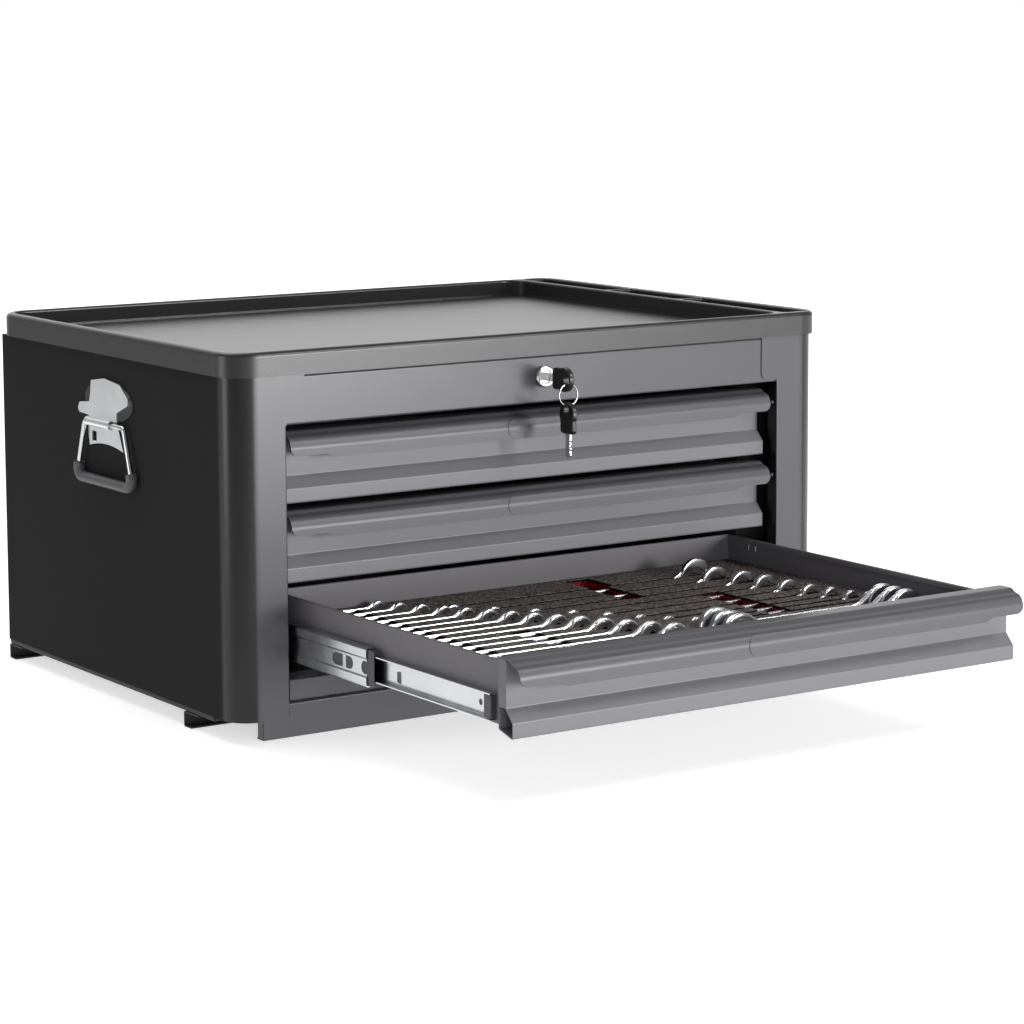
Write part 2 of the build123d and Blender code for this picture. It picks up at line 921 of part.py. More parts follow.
# Tray top: moulded cover with a recess, three pockets and a ribbed underside
tray_top = body_top + tray_height
floor_top = body_top + tray_floor
tray_left = -side_x - tray_overhang
tray_front = front_y - tray_overhang
tray_width = body_width + 2 * tray_overhang
tray_depth = body_depth + 2 * tray_overhang
tray_middle = tray_front + tray_depth / 2
recess_left = tray_left + tray_wall
recess_width = divider_left - recess_left
recess_depth = tray_depth - 2 * tray_wall
recess_middle = recess_left + recess_width / 2
pocket_left = divider_left + divider_width
pocket_right = -tray_left - pocket_wall
pocket_ends = [tray_front + pocket_wall]
for rib_start in pocket_ribs:
    pocket_ends += [depth(rib_start) - divider_width / 2, depth(rib_start) + divider_width / 2]
pocket_ends.append(tray_front + tray_depth - pocket_wall)
with BuildPart() as top_tray:
    with BuildSketch(Plane.XY.offset(body_top)):
        with Locations((0, tray_middle)):
            RectangleRounded(tray_width, tray_depth, tray_corner)
    extrude(amount=tray_height)
    fillet(top_tray.faces().sort_by(Axis.Z)[-1].edges(), radius=tray_round)
    with BuildSketch(Plane.XY.offset(floor_top)):
        with Locations((recess_middle, tray_middle)):
            RectangleRounded(recess_width, recess_depth, tray_corner - tray_wall)
        for low, high in zip(pocket_ends[0::2], pocket_ends[1::2]):
            with Locations(((pocket_left + pocket_right) / 2, (low + high) / 2)):
                RectangleRounded(pocket_right - pocket_left, high - low, pocket_corner)
    extrude(amount=tray_height, mode=Mode.SUBTRACT)
    rims = top_tray.faces().filter_by(Axis.Z).sort_by(Axis.Z)[-1].inner_wires()
    fillet(rims.edges(), radius=tray_edge)
    with BuildSketch(Plane.XY.offset(floor_top)):
        with Locations((recess_middle, tray_middle)):
            RectangleRounded(recess_width, recess_depth, tray_corner - tray_wall)
            RectangleRounded(
                recess_width - 2 * tray_ledge,
                recess_depth - 2 * tray_ledge,
                tray_corner - tray_wall - tray_ledge,
                mode=Mode.SUBTRACT,
            )
    extrude(amount=tray_ledge_rise)
    with BuildSketch(Plane.XY.offset(body_top)):
        with Locations((0, tray_middle)):
            RectangleRounded(tray_width - 2 * tray_skin, tray_depth - 2 * tray_skin, tray_corner - tray_skin)
            RectangleRounded(
                tray_width - 2 * (tray_wall - tray_skin),
                tray_depth - 2 * (tray_wall - tray_skin),
                tray_corner - tray_wall + tray_skin,
                mode=Mode.SUBTRACT,
            )
    extrude(amount=tray_height - tray_skin, mode=Mode.SUBTRACT)
    cell_x = (tray_width - 2 * tray_wall - rib_width) / rib_cells_x
    cell_y = (tray_depth - 2 * tray_wall - rib_width) / rib_cells_y
    with BuildSketch(Plane.XY.offset(body_top)):
        with Locations((0, tray_middle)):
            with GridLocations(cell_x, cell_y, rib_cells_x, rib_cells_y):
                RectangleRounded(cell_x - rib_width, cell_y - rib_width, rib_width)
    extrude(amount=tray_floor - tray_skin, mode=Mode.SUBTRACT)
top_tray.part.label = "top_tray"
export_step(top_tray.part, "parts/top_tray.step")

# Rivet heads on the columns' return flanges, one over each drawer's slide
with BuildPart() as body_rivets:
    for side in (-1, 1):
        for height in slide_heights:
            spot = Plane(
                origin=(side * opening_x, depth(column_return / 2), height + rivet_rise),
                z_dir=(-side, 0, 0),
            )
            with BuildSketch(spot):
                Circle(rivet_radius)
            extrude(amount=rivet_head, taper=30)
body_rivets.part.label = "body_rivets"
export_step(body_rivets.part, "parts/body_rivets.step")

# Lock housing: escutcheon and barrel through the rail
rail_face = sheet
rail_back = 2 * sheet
barrel_end = rail_face + lock_barrel
lock_bore = cylinder_radius + lock_play
with BuildPart() as lock_housing:
    with BuildSketch(at_depth(rail_face)):
        with Locations((0, lock_height)):
            Circle(lock_flange_radius)
    extrude(amount=lock_flange)
    fillet(lock_housing.faces().sort_by(Axis.Y)[0].edges(), radius=lock_flange_round)
    with BuildSketch(at_depth(barrel_end)):
        with Locations((0, lock_height)):
            Circle(lock_barrel_radius)
    extrude(amount=lock_barrel)
    with BuildSketch(at_depth(barrel_end)):
        with Locations((0, lock_height)):
            Circle(lock_bore)
    extrude(amount=lock_barrel + lock_flange, mode=Mode.SUBTRACT)
lock_housing.part.label = "lock_housing"
export_step(lock_housing.part, "parts/lock_housing.step")

with BuildPart() as lock_nut:
    with BuildSketch(at_depth(rail_back + nut_height)):
        with Locations((0, lock_height)):
            RegularPolygon(nut_radius, 6)
            Circle(lock_barrel_radius, mode=Mode.SUBTRACT)
    extrude(amount=nut_height)
lock_nut.part.label = "lock_nut"
export_step(lock_nut.part, "parts/lock_nut.step")

# Lock cylinder with its upright keyway
cylinder_face = rail_face - lock_flange + cylinder_sink
cylinder_end = barrel_end + cylinder_tail
with BuildPart() as lock_cylinder:
    with BuildSketch(at_depth(cylinder_end)):
        with Locations((0, lock_height)):
            Circle(cylinder_radius)
    extrude(amount=cylinder_end - cylinder_face)
    fillet(lock_cylinder.faces().sort_by(Axis.Y)[0].edges(), radius=cylinder_round)
    with BuildSketch(at_depth(key_blade_length - key_start + keyway_play)):
        with Locations((0, lock_height)):
            Rectangle(key_blade_sheet + 2 * keyway_play, key_blade_width + 2 * keyway_play)
    extrude(amount=key_blade_length, mode=Mode.SUBTRACT)
lock_cylinder.part.label = "lock_cylinder"
export_step(lock_cylinder.part, "parts/lock_cylinder.step")

# Torque rod from the cylinder to the back, with a crank that points left at rest
pin_end = bar_front + bar_sheet + crank_past
crank_arm = crank + 2 * crank_pin + 2 * rod_radius
with BuildPart() as torque_rod:
    with BuildSketch(at_depth(rod_end)):
        with Locations((0, lock_height)):
            Circle(rod_radius)
    extrude(amount=rod_end - cylinder_end)
    with BuildSketch(at_depth(rod_end)):
        with Locations((-crank / 2, lock_height)):
            SlotOverall(crank_arm, 2 * rod_radius + 2 * crank_pin)
    extrude(amount=cam_sheet)
    with BuildSketch(at_depth(pin_end)):
        with Locations((-crank, lock_height)):
            Circle(crank_pin)
    extrude(amount=pin_end - rod_end)
torque_rod.part.label = "torque_rod"
export_step(torque_rod.part, "parts/torque_rod.step")

# Bracket under the top sheet, which carries the rod's back end
bracket_low = lock_height - rod_radius - bracket_margin
with BuildPart() as rod_bracket:
    with BuildSketch(Plane.YZ.offset(-bracket_width / 2)):
        add(
            folded(
                [
                    (depth(bracket_place), bracket_low),
                    (depth(bracket_place), cover_bottom),
                    (depth(bracket_place - bracket_flange), cover_bottom),
                ],
                [bend],
                Side.LEFT,
            )
        )
    extrude(amount=bracket_width)
    with BuildSketch(at_depth(bracket_place + 1)):
        with Locations((0, lock_height)):
            Circle(rod_radius + rod_play)
    extrude(amount=2 * sheet + 1, mode=Mode.SUBTRACT)
rod_bracket.part.label = "rod_bracket"
export_step(rod_bracket.part, "parts/rod_bracket.step")

# Lock bar: flat bar with a window for each drawer's tongue and a slot for the crank pin
pin_reach = crank_pin + pin_play
window_low = tongue_height - tongue_sheet - bar_lift - window_play
window_high = tongue_height + window_play
with BuildPart() as lock_bar:
    with BuildSketch(at_depth(bar_front + bar_sheet)):
        with Locations((0, (bar_bottom + bar_top) / 2)):
            Rectangle(bar_width, bar_top - bar_bottom)
        for height in slide_heights:
            with Locations((0, height + (window_low + window_high) / 2)):
                Rectangle(tongue_width + 2 * window_side, window_high - window_low, mode=Mode.SUBTRACT)
        with Locations((-crank / 2, lock_height)):
            Rectangle(crank + 2 * pin_reach, 2 * (crank_pin + crank_slack), mode=Mode.SUBTRACT)
    extrude(amount=bar_sheet)
lock_bar.part.label = "lock_bar"
export_step(lock_bar.part, "parts/lock_bar.step")

# Guides on the back sheet, which the bar slides in
guide_front = bar_front - guide_play - guide_wall
guide_back = body_depth - 2 * sheet
guide_half = bar_width / 2 + guide_play
with BuildPart() as lock_bar_guides:
    for place in guide_places:
        with BuildSketch(Plane.XY.offset(place)):
            with Locations((0, depth((guide_front + guide_back) / 2))):
                Rectangle(2 * (guide_half + guide_wall), guide_back - guide_front)
            with Locations((0, depth(bar_front + bar_sheet / 2))):
                Rectangle(2 * guide_half, bar_sheet + 2 * guide_play, mode=Mode.SUBTRACT)
            hollow_front = bar_front + bar_sheet + guide_play + guide_wall
            with Locations((0, depth((hollow_front + guide_back - guide_wall) / 2))):
                Rectangle(2 * guide_half, guide_back - guide_wall - hollow_front, mode=Mode.SUBTRACT)
        extrude(amount=guide_height)
lock_bar_guides.part.label = "lock_bar_guides"
export_step(lock_bar_guides.part, "parts/lock_bar_guides.step")

# Keys: a moulded head on a flat blade; each is drawn on a plane whose X runs from shoulder to ring hole
key_hole_place = key_head_length - key_hole_edge
ring_sag = ring_radius - math.sqrt(ring_radius**2 - (key_head_sheet / 2) ** 2)
ring_hang = key_hole - ring_wire - ring_sag - ring_slack
ring_y = depth(-key_start - key_hole_place)
ring_top = lock_height - ring_hang
ring_bottom = ring_top - 2 * ring_radius
spare_shoulder = ring_bottom - ring_hang - key_hole_place
lock_key_plane = Plane(origin=(0, depth(-key_start), lock_height), x_dir=(0, -1, 0), z_dir=(1, 0, 0))
spare_key_plane = Plane(origin=(0, ring_y, spare_shoulder), x_dir=(0, 0, 1), z_dir=(1, 0, 0))


def head_of_key(plane):
    """Rounded head with a hole for the ring and a socket for the blade's tang."""
    with BuildPart() as head:
        with BuildSketch(plane):
            with Locations((key_head_length - key_head_width / 2, 0)):
                Circle(key_head_width / 2)
            with Locations(((key_head_length - key_head_width / 2) / 2, 0)):
                RectangleRounded(key_head_length - key_head_width / 2, key_head_width - 3, key_head_corner)
            with Locations((key_hole_place, 0)):
                Circle(key_hole, mode=Mode.SUBTRACT)
        extrude(amount=key_head_sheet / 2, both=True)
        rims = [face.outer_wire() for face in head.faces().filter_by(Plane.YZ)]
        fillet(ShapeList(rims).edges(), radius=key_head_round)
        with BuildSketch(plane):
            with Locations((key_tang / 2, 0)):
                Rectangle(key_tang, key_blade_width)
        extrude(amount=key_blade_sheet / 2, both=True, mode=Mode.SUBTRACT)
    return head.part


def blade_of_key(plane):
    """Flat blade with shallow cuts on both edges, held in the head by its tang."""
    half = key_blade_width / 2
    upper = [(key_tang, half)]
    for cut, bite in key_cuts:
        upper += [(-cut + 1.6, half), (-cut, half - bite), (-cut - 1.6, half)]
    upper += [(2 - key_blade_length, half), (-key_blade_length, half - 2)]
    lower = [(along, -across) for along, across in reversed(upper)]
    with BuildPart() as blade:
        with BuildSketch(plane):
            with BuildLine():
                Polyline(*upper, *lower, close=True)
            make_face()
        extrude(amount=key_blade_sheet / 2, both=True)
    return blade.part


with BuildPart() as key_head:
    add(head_of_key(lock_key_plane))
key_head.part.label = "key_head"
export_step(key_head.part, "parts/key_head.step")

with BuildPart() as key_blade:
    add(blade_of_key(lock_key_plane))
key_blade.part.label = "key_blade"
export_step(key_blade.part, "parts/key_blade.step")

with BuildPart() as spare_key_head:
    add(head_of_key(spare_key_plane))
spare_key_head.part.label = "spare_key_head"
export_step(spare_key_head.part, "parts/spare_key_head.step")

with BuildPart() as spare_key_blade:
    add(blade_of_key(spare_key_plane))
spare_key_blade.part.label = "spare_key_blade"
export_step(spare_key_blade.part, "parts/spare_key_blade.step")

with BuildPart() as key_ring:
    with Locations((0, ring_y, ring_top - ring_radius)):
        Torus(ring_radius, ring_wire, rotation=(90, 0, 0))
key_ring.part.label = "key_ring"
export_step(key_ring.part, "parts/key_ring.step")

# Drop handles: thin backer, cast plate with a barrel, wire bail through the barrel, rubber grip
backer_face = -side_x - handle_backer
plate_face = backer_face - handle_sheet
barrel_x = -side_x - barrel_standoff
with BuildPart() as handle_backers:
    for turn in (1, -1):
        with BuildSketch(Plane.YZ.offset(-turn * side_x)):
            with Locations((depth(backer_middle), backer_height)):
                Ellipse(backer_half_width, backer_half_height)
        extrude(amount=-turn * handle_backer)
handle_backers.part.label = "handle_backers"
export_step(handle_backers.part, "parts/handle_backers.step")

plate_outline = [
    (241, 13), (216, 23), (215, 30), (233, 43), (268, 46.5), (298, 42),
    (300, 29), (303, 19), (325, 17), (330, 10), (326, 6), (303, 5),
]
plate_points = [(depth(along), barrel_height + up) for along, up in plate_outline]
with BuildPart() as handle_plate_left:
    with BuildSketch(Plane.YZ.offset(backer_face)):
        with BuildLine():
            FilletPolyline(
                *plate_points,
                (depth(plate_neck_back), barrel_height),
                (depth(plate_neck_front), barrel_height),
                radius=3,
                close=True,
            )
        make_face()
        with BuildLine():
            Polyline(
                (depth(plate_neck_front), barrel_height + 2),
                (depth(235), lower_plate_top),
                (depth(lower_plate_front), lower_plate_bottom),
            )
            ThreePointArc(
                (depth(lower_plate_front), lower_plate_bottom),
                (depth((lower_plate_front + lower_plate_back) / 2), lower_plate_bottom + lower_plate_arch),
                (depth(lower_plate_back), lower_plate_bottom),
            )
            Polyline(
                (depth(lower_plate_back), lower_plate_bottom),
                (depth(lower_plate_back + 4), lower_plate_top),
                (depth(plate_neck_back), barrel_height + 2),
                (depth(plate_neck_front), barrel_height + 2),
            )
        make_face()
        with Locations((depth(plate_window_place), plate_window_height)):
            Rectangle(plate_window, plate_window, mode=Mode.SUBTRACT)
    extrude(amount=-handle_sheet)
    with BuildSketch(at_depth(barrel_back)):
        with Locations((barrel_x, barrel_height)):
            Circle(barrel_radius)
        with Locations(((barrel_x + backer_face) / 2, barrel_height)):
            Rectangle(backer_face - barrel_x, barrel_radius)
    extrude(amount=barrel_back - barrel_front)
    with BuildSketch(at_depth(barrel_back + 1)):
        with Locations((barrel_x, barrel_height)):
            Circle(barrel_bore)
    extrude(amount=barrel_back - barrel_front + 2, mode=Mode.SUBTRACT)
handle_plate_left.part.label = "handle_plate_left"
export_step(handle_plate_left.part, "parts/handle_plate_left.step")

with BuildPart() as handle_plate_right:
    mirror(handle_plate_left.part, about=Plane.YZ)
handle_plate_right.part.label = "handle_plate_right"
export_step(handle_plate_right.part, "parts/handle_plate_right.step")

bail_drop = bail_bottom - barrel_height
bail_plane = Plane(
    origin=(barrel_x, 0, barrel_height),
    x_dir=(0, 1, 0),
    z_dir=(-bail_drop, 0, -bail_lean),
)
barrel_middle = depth((barrel_front + barrel_back) / 2)


def leg_place(top, bottom, drop):
    """Y of a bail leg at a distance below the barrel."""
    return depth(top + (bottom - top) * drop / bail_drop)


grip_drop = grip_leg_top - barrel_height
grip_start = (leg_place(bail_top_front, bail_bottom_front, grip_drop), grip_drop)
grip_end = (leg_place(bail_top_back, bail_bottom_back, grip_drop), grip_drop)
bail_points = [
    (barrel_middle - bail_split / 2, 0),
    (depth(bail_top_front), 0),
    (depth(bail_bottom_front), bail_drop),
    (depth(bail_bottom_back), bail_drop),
    (depth(bail_top_back), 0),
    (barrel_middle + bail_split / 2, 0),
]
bail_radii = [bail_shoulder, bail_corner, bail_corner, bail_shoulder]


def swept(points, radii, radius):
    """Round wire along a path in the bail's plane."""
    with BuildPart() as wire:
        with BuildLine(bail_plane) as path:
            FilletPolyline(*points, radius=radii)
        with BuildSketch(Plane(origin=path.line @ 0, z_dir=path.line % 0)):
            Circle(radius)
        sweep(path=path.line)
    return wire.part


with BuildPart() as bail_left:
    add(swept(bail_points, bail_radii, wire_radius))
bail_left.part.label = "bail_left"
export_step(bail_left.part, "parts/bail_left.step")

with BuildPart() as bail_right:
    mirror(bail_left.part, about=Plane.YZ)
bail_right.part.label = "bail_right"
export_step(bail_right.part, "parts/bail_right.step")

grip_points = [grip_start, bail_points[2], bail_points[3], grip_end]
grip_radii_of_bail = [bail_corner, bail_corner]
with BuildPart() as bail_grip_left:
    add(swept(grip_points, grip_radii_of_bail, grip_tube))
    add(swept(grip_points, grip_radii_of_bail, wire_radius + grip_play), mode=Mode.SUBTRACT)
bail_grip_left.part.label = "bail_grip_left"
export_step(bail_grip_left.part, "parts/bail_grip_left.step")

with BuildPart() as bail_grip_right:
    mirror(bail_grip_left.part, about=Plane.YZ)
bail_grip_right.part.label = "bail_grip_right"
export_step(bail_grip_right.part, "parts/bail_grip_right.step")

# Inlay of the bottom drawer: foam over a thin base, with slots for the wrenches and grooves for fingers
inlay_height = slide_heights[2]
inlay_shift = drawer_shift[2]
inlay_low = inlay_height - box_drop + box_sheet
foam_low = inlay_low + inlay_base
foam_top = inlay_height + inlay_top
inlay_x = box_x - box_sheet - inlay_gap
inlay_front = box_front + box_sheet + inlay_gap
inlay_back = box_back - box_sheet - inlay_gap
inlay_middle = depth((inlay_front + inlay_back) / 2) + inlay_shift

# Wrenches as (place behind the front, left end, right end, left head, right head, how deep the centre of the
# left head and of the right head lie in the foam, thickness, rise of the shank, open end right)
small_rows = []
for row in range(row_count):
    share = row / (row_count - 1)
    head = row_head[0] + (row_head[1] - row_head[0]) * share
    reach = row_reach[0] + (row_reach[1] - row_reach[0]) * share
    place = box_back - row_first - row_pitch * row
    left = row_start * tool_spread
    sinks = (open_sink, ring_sink)
    ends = (left, reach * tool_spread)
    small_rows.append((place, *ends, head, head, *sinks, 4 + 2.5 * share, shank_rise, False))
for place, left, right, left_head, right_head, right_sink in back_rows:
    ends = (left * tool_spread, right * tool_spread)
    sinks = (left_head / 2 - back_ring_rise, right_sink)
    row = (box_back - place, *ends, left_head, right_head, *sinks, back_row_sheet, -back_shank_sink, True)
    small_rows.append(row)
large_ends = (large_left * tool_spread, large_right * tool_spread)
large_rows = []
for place in large_row:
    sinks = (ring_sink, ring_sink)
    row = (box_back - place, *large_ends, large_head, large_head, *sinks, large_sheet, shank_rise, True)
    large_rows.append(row)


def wrench(place, left, right, left_head, right_head, left_sink, right_sink, thick, rise, open_right):
    """Wrench standing on edge: shank, ring head at one end, open head at the other."""
    shank = shank_share * min(left_head, right_head)
    left_end = (left + left_head / 2, left_head, left, foam_top - left_sink)
    right_end = (right - right_head / 2, right_head, right, foam_top - right_sink)
    ring_end, open_end = (left_end, right_end) if open_right else (right_end, left_end)
    with BuildPart() as tool:
        with BuildSketch(Plane.XZ.offset(-depth(place) - inlay_shift)):
            with Locations(((left_end[0] + right_end[0]) / 2, foam_top + rise - shank / 2)):
                Rectangle(right_end[0] - left_end[0], shank)
            with Locations((ring_end[0], ring_end[3])):
                Circle(ring_end[1] / 2)
                Circle(ring_end[1] * bore_share / 2, mode=Mode.SUBTRACT)
            with Locations((open_end[0], open_end[3])):
                Circle(open_end[1] / 2)
            with Locations((open_end[2], open_end[3])):
                Rectangle(open_end[1], open_end[1] * jaw_share, mode=Mode.SUBTRACT)
        extrude(amount=thick / 2, both=True)
    return tool.part


def slot(place, left, right, left_head, right_head, left_sink, right_sink, thick, rise, open_right):
    """Pocket in the foam for one wrench, deep enough for its larger head."""
    deep = foam_top - max(left_sink + left_head / 2, right_sink + right_head / 2) - slot_floor
    reach = (left - slot_gap, right + slot_gap)
    width = thick / 2 + slot_gap
    middle = depth(place) + inlay_shift
    return block(reach, (middle - width, middle + width), (deep, foam_top + 1))


with BuildPart() as foam_inlay:
    with BuildSketch(Plane.XY.offset(foam_low)):
        with Locations((0, inlay_middle)):
            Rectangle(2 * inlay_x, inlay_back - inlay_front)
    extrude(amount=foam_top - foam_low)
    for row in small_rows + large_rows:
        add(slot(*row), mode=Mode.SUBTRACT)
    for left, right, near, far in finger_grooves:
        ends = (left * tool_spread, right * tool_spread)
        sides = (depth(box_back - near) + inlay_shift, depth(box_back - far) + inlay_shift)
        add(block(ends, sides, (foam_low - 1, foam_top + 1)), mode=Mode.SUBTRACT)
foam_inlay.part.label = "foam_inlay"
export_step(foam_inlay.part, "parts/foam_inlay.step")

with BuildPart() as foam_base:
    with BuildSketch(Plane.XY.offset(inlay_low)):
        with Locations((0, inlay_middle)):
            Rectangle(2 * inlay_x, inlay_back - inlay_front)
    extrude(amount=inlay_base)
foam_base.part.label = "foam_base"
export_step(foam_base.part, "parts/foam_base.step")

with BuildPart() as small_wrenches:
    for row in small_rows:
        add(wrench(*row))
small_wrenches.part.label = "small_wrenches"
export_step(small_wrenches.part, "parts/small_wrenches.step")

with BuildPart() as large_wrenches:
    for row in large_rows:
        add(wrench(*row))
large_wrenches.part.label = "large_wrenches"
export_step(large_wrenches.part, "parts/large_wrenches.step")
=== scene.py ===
"""Finishes and stages the top tool box: paints, mouldings, plated steel, foam, wrenches, camera, light."""

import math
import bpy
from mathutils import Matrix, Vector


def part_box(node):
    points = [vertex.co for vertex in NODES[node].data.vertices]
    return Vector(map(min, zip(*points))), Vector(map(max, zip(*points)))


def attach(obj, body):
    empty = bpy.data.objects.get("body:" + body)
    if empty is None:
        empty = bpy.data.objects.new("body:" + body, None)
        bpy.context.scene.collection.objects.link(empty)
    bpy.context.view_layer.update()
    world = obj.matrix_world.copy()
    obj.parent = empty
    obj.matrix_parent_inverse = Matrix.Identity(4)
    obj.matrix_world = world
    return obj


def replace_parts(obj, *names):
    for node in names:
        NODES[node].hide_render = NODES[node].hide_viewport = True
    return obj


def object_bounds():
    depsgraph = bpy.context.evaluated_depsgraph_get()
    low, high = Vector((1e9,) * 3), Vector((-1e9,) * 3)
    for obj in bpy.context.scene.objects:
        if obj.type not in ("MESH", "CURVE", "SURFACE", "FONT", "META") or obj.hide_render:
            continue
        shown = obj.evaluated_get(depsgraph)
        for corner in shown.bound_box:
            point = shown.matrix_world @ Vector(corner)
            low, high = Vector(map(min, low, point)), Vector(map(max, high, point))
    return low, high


bl_info = {
    "name": "Top tool box",
    "version": (1, 0, 0),
    "blender": (4, 5, 0),
    "location": "View3D > Sidebar > Tool box",
    "description": "Finishes the top tool box with drawers and stages it",
    "category": "Object",
}

import bpy
import numpy as np
from bpy.props import FloatProperty, PointerProperty, StringProperty
from mathutils import Matrix, Vector

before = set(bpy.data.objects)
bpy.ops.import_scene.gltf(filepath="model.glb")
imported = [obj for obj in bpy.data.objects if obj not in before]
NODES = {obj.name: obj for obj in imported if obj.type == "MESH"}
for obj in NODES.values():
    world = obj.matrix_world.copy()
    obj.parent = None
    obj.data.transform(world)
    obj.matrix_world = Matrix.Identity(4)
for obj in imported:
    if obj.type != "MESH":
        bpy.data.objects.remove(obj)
CAD_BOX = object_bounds()
MM = 0.001
WHITE = "#ffffff"

# Radius of the cabinet's round front corners
COLUMN_RADIUS = 28 * MM

# The tray's inner back wall, which is painted darker as painted shade: how far in from the tray's back edge,
# and its foot and its top under the rim
TRAY_WALL_IN = 9 * MM
TRAY_WALL_FOOT = 16.5 * MM
TRAY_WALL_TOP = 2.6 * MM

# Grain of the orange peel in the powder coat, in millimetres
PEEL_MM = 1.5

# Heads of the wrenches: ring bore and jaw mouth as shares of the radius, and the jaw's tilt and half opening
# in radians
RING_BORE = 0.3
JAW_MOUTH = 0.5
JAW_TILT = math.radians(22)
JAW_HALF_GAP = 0.75

# Half thicknesses of a wrench as shares of its thickness
RING_THICK = 0.6
JAW_THICK = 0.5
SHANK_THICK = 0.34

# Height of the shank where it meets a head, as a share of the head's radius, for a raised and a sunk shank
RAISED_SWELL = 0.8
SUNK_SWELL = 0.45

# Wrenches in millimetres: places count forward from a line this far in front of the drawer box's back, ends
# lie along X from the middle, and sinks say how deep the centres of the two heads lie in the foam. A negative
# rise is a shank below the foam's top.
WRENCH_LINE = 22 * MM

# Left column: first and last values of wrenches that grow evenly towards the front
LEFT_COUNT = 14
LEFT_FIRST = 16
LEFT_PITCH = 22.2
LEFT_END = -278
LEFT_REACH = (-164, 1)
LEFT_HEAD = (17, 30)
LEFT_THICK = (4, 6.5)
LEFT_SINKS = (1, 2)
LEFT_RISE = 0.8

# Right column: place, left end, right end, left head, right head, sink of the right head
RIGHT_ROWS = (
    (59, -122, 219, 23, 42, 3),
    (92, -94, 218, 23, 38, 5),
    (124, -65, 229, 21, 36, 5),
    (153, -38, 233, 20, 31, 3),
    (182, -15, 238, 19, 27, 2.5),
    (211, 5, 243, 18, 25, 3),
    (234, 23, 251, 17, 22, 2),
    (254, 43, 260, 16, 20, 2.5),
    (272, 62, 267, 15, 18, 1),
)
RIGHT_RING_RISE = 3
RIGHT_THICK = 6
RIGHT_RISE = -3

# The three large ones at the front
LARGE_PLACES = (290, 308, 326)
LARGE_ENDS = (27, 282)
LARGE_HEADS = (42, 42)
LARGE_SINKS = (2, 2)
LARGE_THICK = 8
LARGE_RISE = 1.2

# Lamps: name, place, width, height, power, whether shiny surfaces mirror it
LAMPS = (
    ("key", (1.9, -5.2, 0.7), 1.2, 1.3, 235.0, True),
    ("edge", (1.25, -2.4, 2.1), 1.0, 0.5, 26.0, True),
    ("front", (-2.0, -5.6, 0.8), 3.0, 1.2, 110.0, False),
    ("top", (-0.4, 0.7, 2.6), 2.0, 1.6, 32.0, True),
    ("left", (-1.7, 0.08, 0.45), 0.6, 0.9, 5.5, True),
)
LAMP_TARGET_HEIGHT = 0.2

# What the camera aims at, and how far to the right and upward of that line it stands
CAMERA_TARGET = np.array([0.0, -0.3125, 0.2])
CAMERA_ASIDE = 0.08647
CAMERA_RAISED = 0.10057
SENSOR_WIDTH_MM = 36.0


# Colour and node helpers


def linear(hex_colour):
    """sRGB hex string to linear RGBA."""
    parts = [int(hex_colour[i : i + 2], 16) / 255 for i in (1, 3, 5)]
    return tuple(v / 12.92 if v <= 0.04045 else ((v + 0.055) / 1.055) ** 2.4 for v in parts) + (1.0,)


def blob_scale(size_mm):
    """Noise scale at which the blobs are about size_mm across."""
    return 0.6 / (size_mm * MM)


def set_inputs(tree, node, inputs):
    """Sets inputs by name: a socket is linked to its input, and any other value is set on it."""
    for name, value in inputs.items():
        if isinstance(value, bpy.types.NodeSocket):
            tree.links.new(value, node.inputs[name])
        else:
            node.inputs[name].default_value = value


def add_node(tree, kind, inputs=None, **attributes):
    """Adds a node with its attributes, and sets or links its inputs."""
    node = tree.nodes.new(kind)
    for name, value in attributes.items():
        setattr(node, name, value)
    set_inputs(tree, node, inputs or {})
    return node


def new_material(name):
    """Empty material with a Principled shader: (material, tree, shader, object coordinates)."""
    material = bpy.data.materials.new(name)
    material.use_nodes = True
    tree = material.node_tree
    shader = tree.nodes["Principled BSDF"]
    where = add_node(tree, "ShaderNodeTexCoord").outputs["Object"]
    return material, tree, shader, where


def shaded(tree, colour, pattern, dark, span, share):
    """Colour multiplied by a pattern, by a share: dark at the span's lower end, and white at its upper."""
    step = add_node(tree, "ShaderNodeMapRange", {"Value": pattern, "From Min": span[0], "From Max": span[1]})
    tint = add_node(
        tree,
        "ShaderNodeMix",
        {"A": linear(dark), "B": linear(WHITE), "Factor": step.outputs["Result"]},
        data_type="RGBA",
    )
    product = add_node(
        tree,
        "ShaderNodeMix",
        {"A": colour, "B": tint.outputs["Result"], "Factor": share},
        data_type="RGBA",
        blend_type="MULTIPLY",
    )
    return product.outputs["Result"]


def clouded(name, colour, cloud, shade, shine, relief):
    """Material whose colour and gloss follow one soft cloud, over a fine relief: (material, shader).

    cloud is (millimetres, detail), shade is (dark colour, span, share), shine the lowest and highest
    roughness, and relief is (millimetres across, millimetres deep, strength).
    """
    material, tree, shader, where = new_material(name)
    size, detail = cloud
    across, deep, strength = relief
    soft = add_node(
        tree, "ShaderNodeTexNoise", {"Vector": where, "Scale": blob_scale(size), "Detail": detail}
    ).outputs["Fac"]
    fine = add_node(tree, "ShaderNodeTexNoise", {"Vector": where, "Scale": blob_scale(across)})
    gloss = add_node(tree, "ShaderNodeMapRange", {"Value": soft, "To Min": shine[0], "To Max": shine[1]})
    bump = add_node(
        tree, "ShaderNodeBump", {"Height": fine.outputs["Fac"], "Strength": strength, "Distance": deep * MM}
    )
    set_inputs(
        tree,
        shader,
        {
            "Base Color": shaded(tree, linear(colour), soft, *shade),
            "Roughness": gloss.outputs["Result"],
            "Normal": bump.outputs["Normal"],
        },
    )
    return material, shader


def dress(material, *names):
    """Gives CAD nodes a material."""
    for name in names:
        slots = NODES[name].data.materials
        slots.clear()
        slots.append(material)


# Sizes and colours a user may change


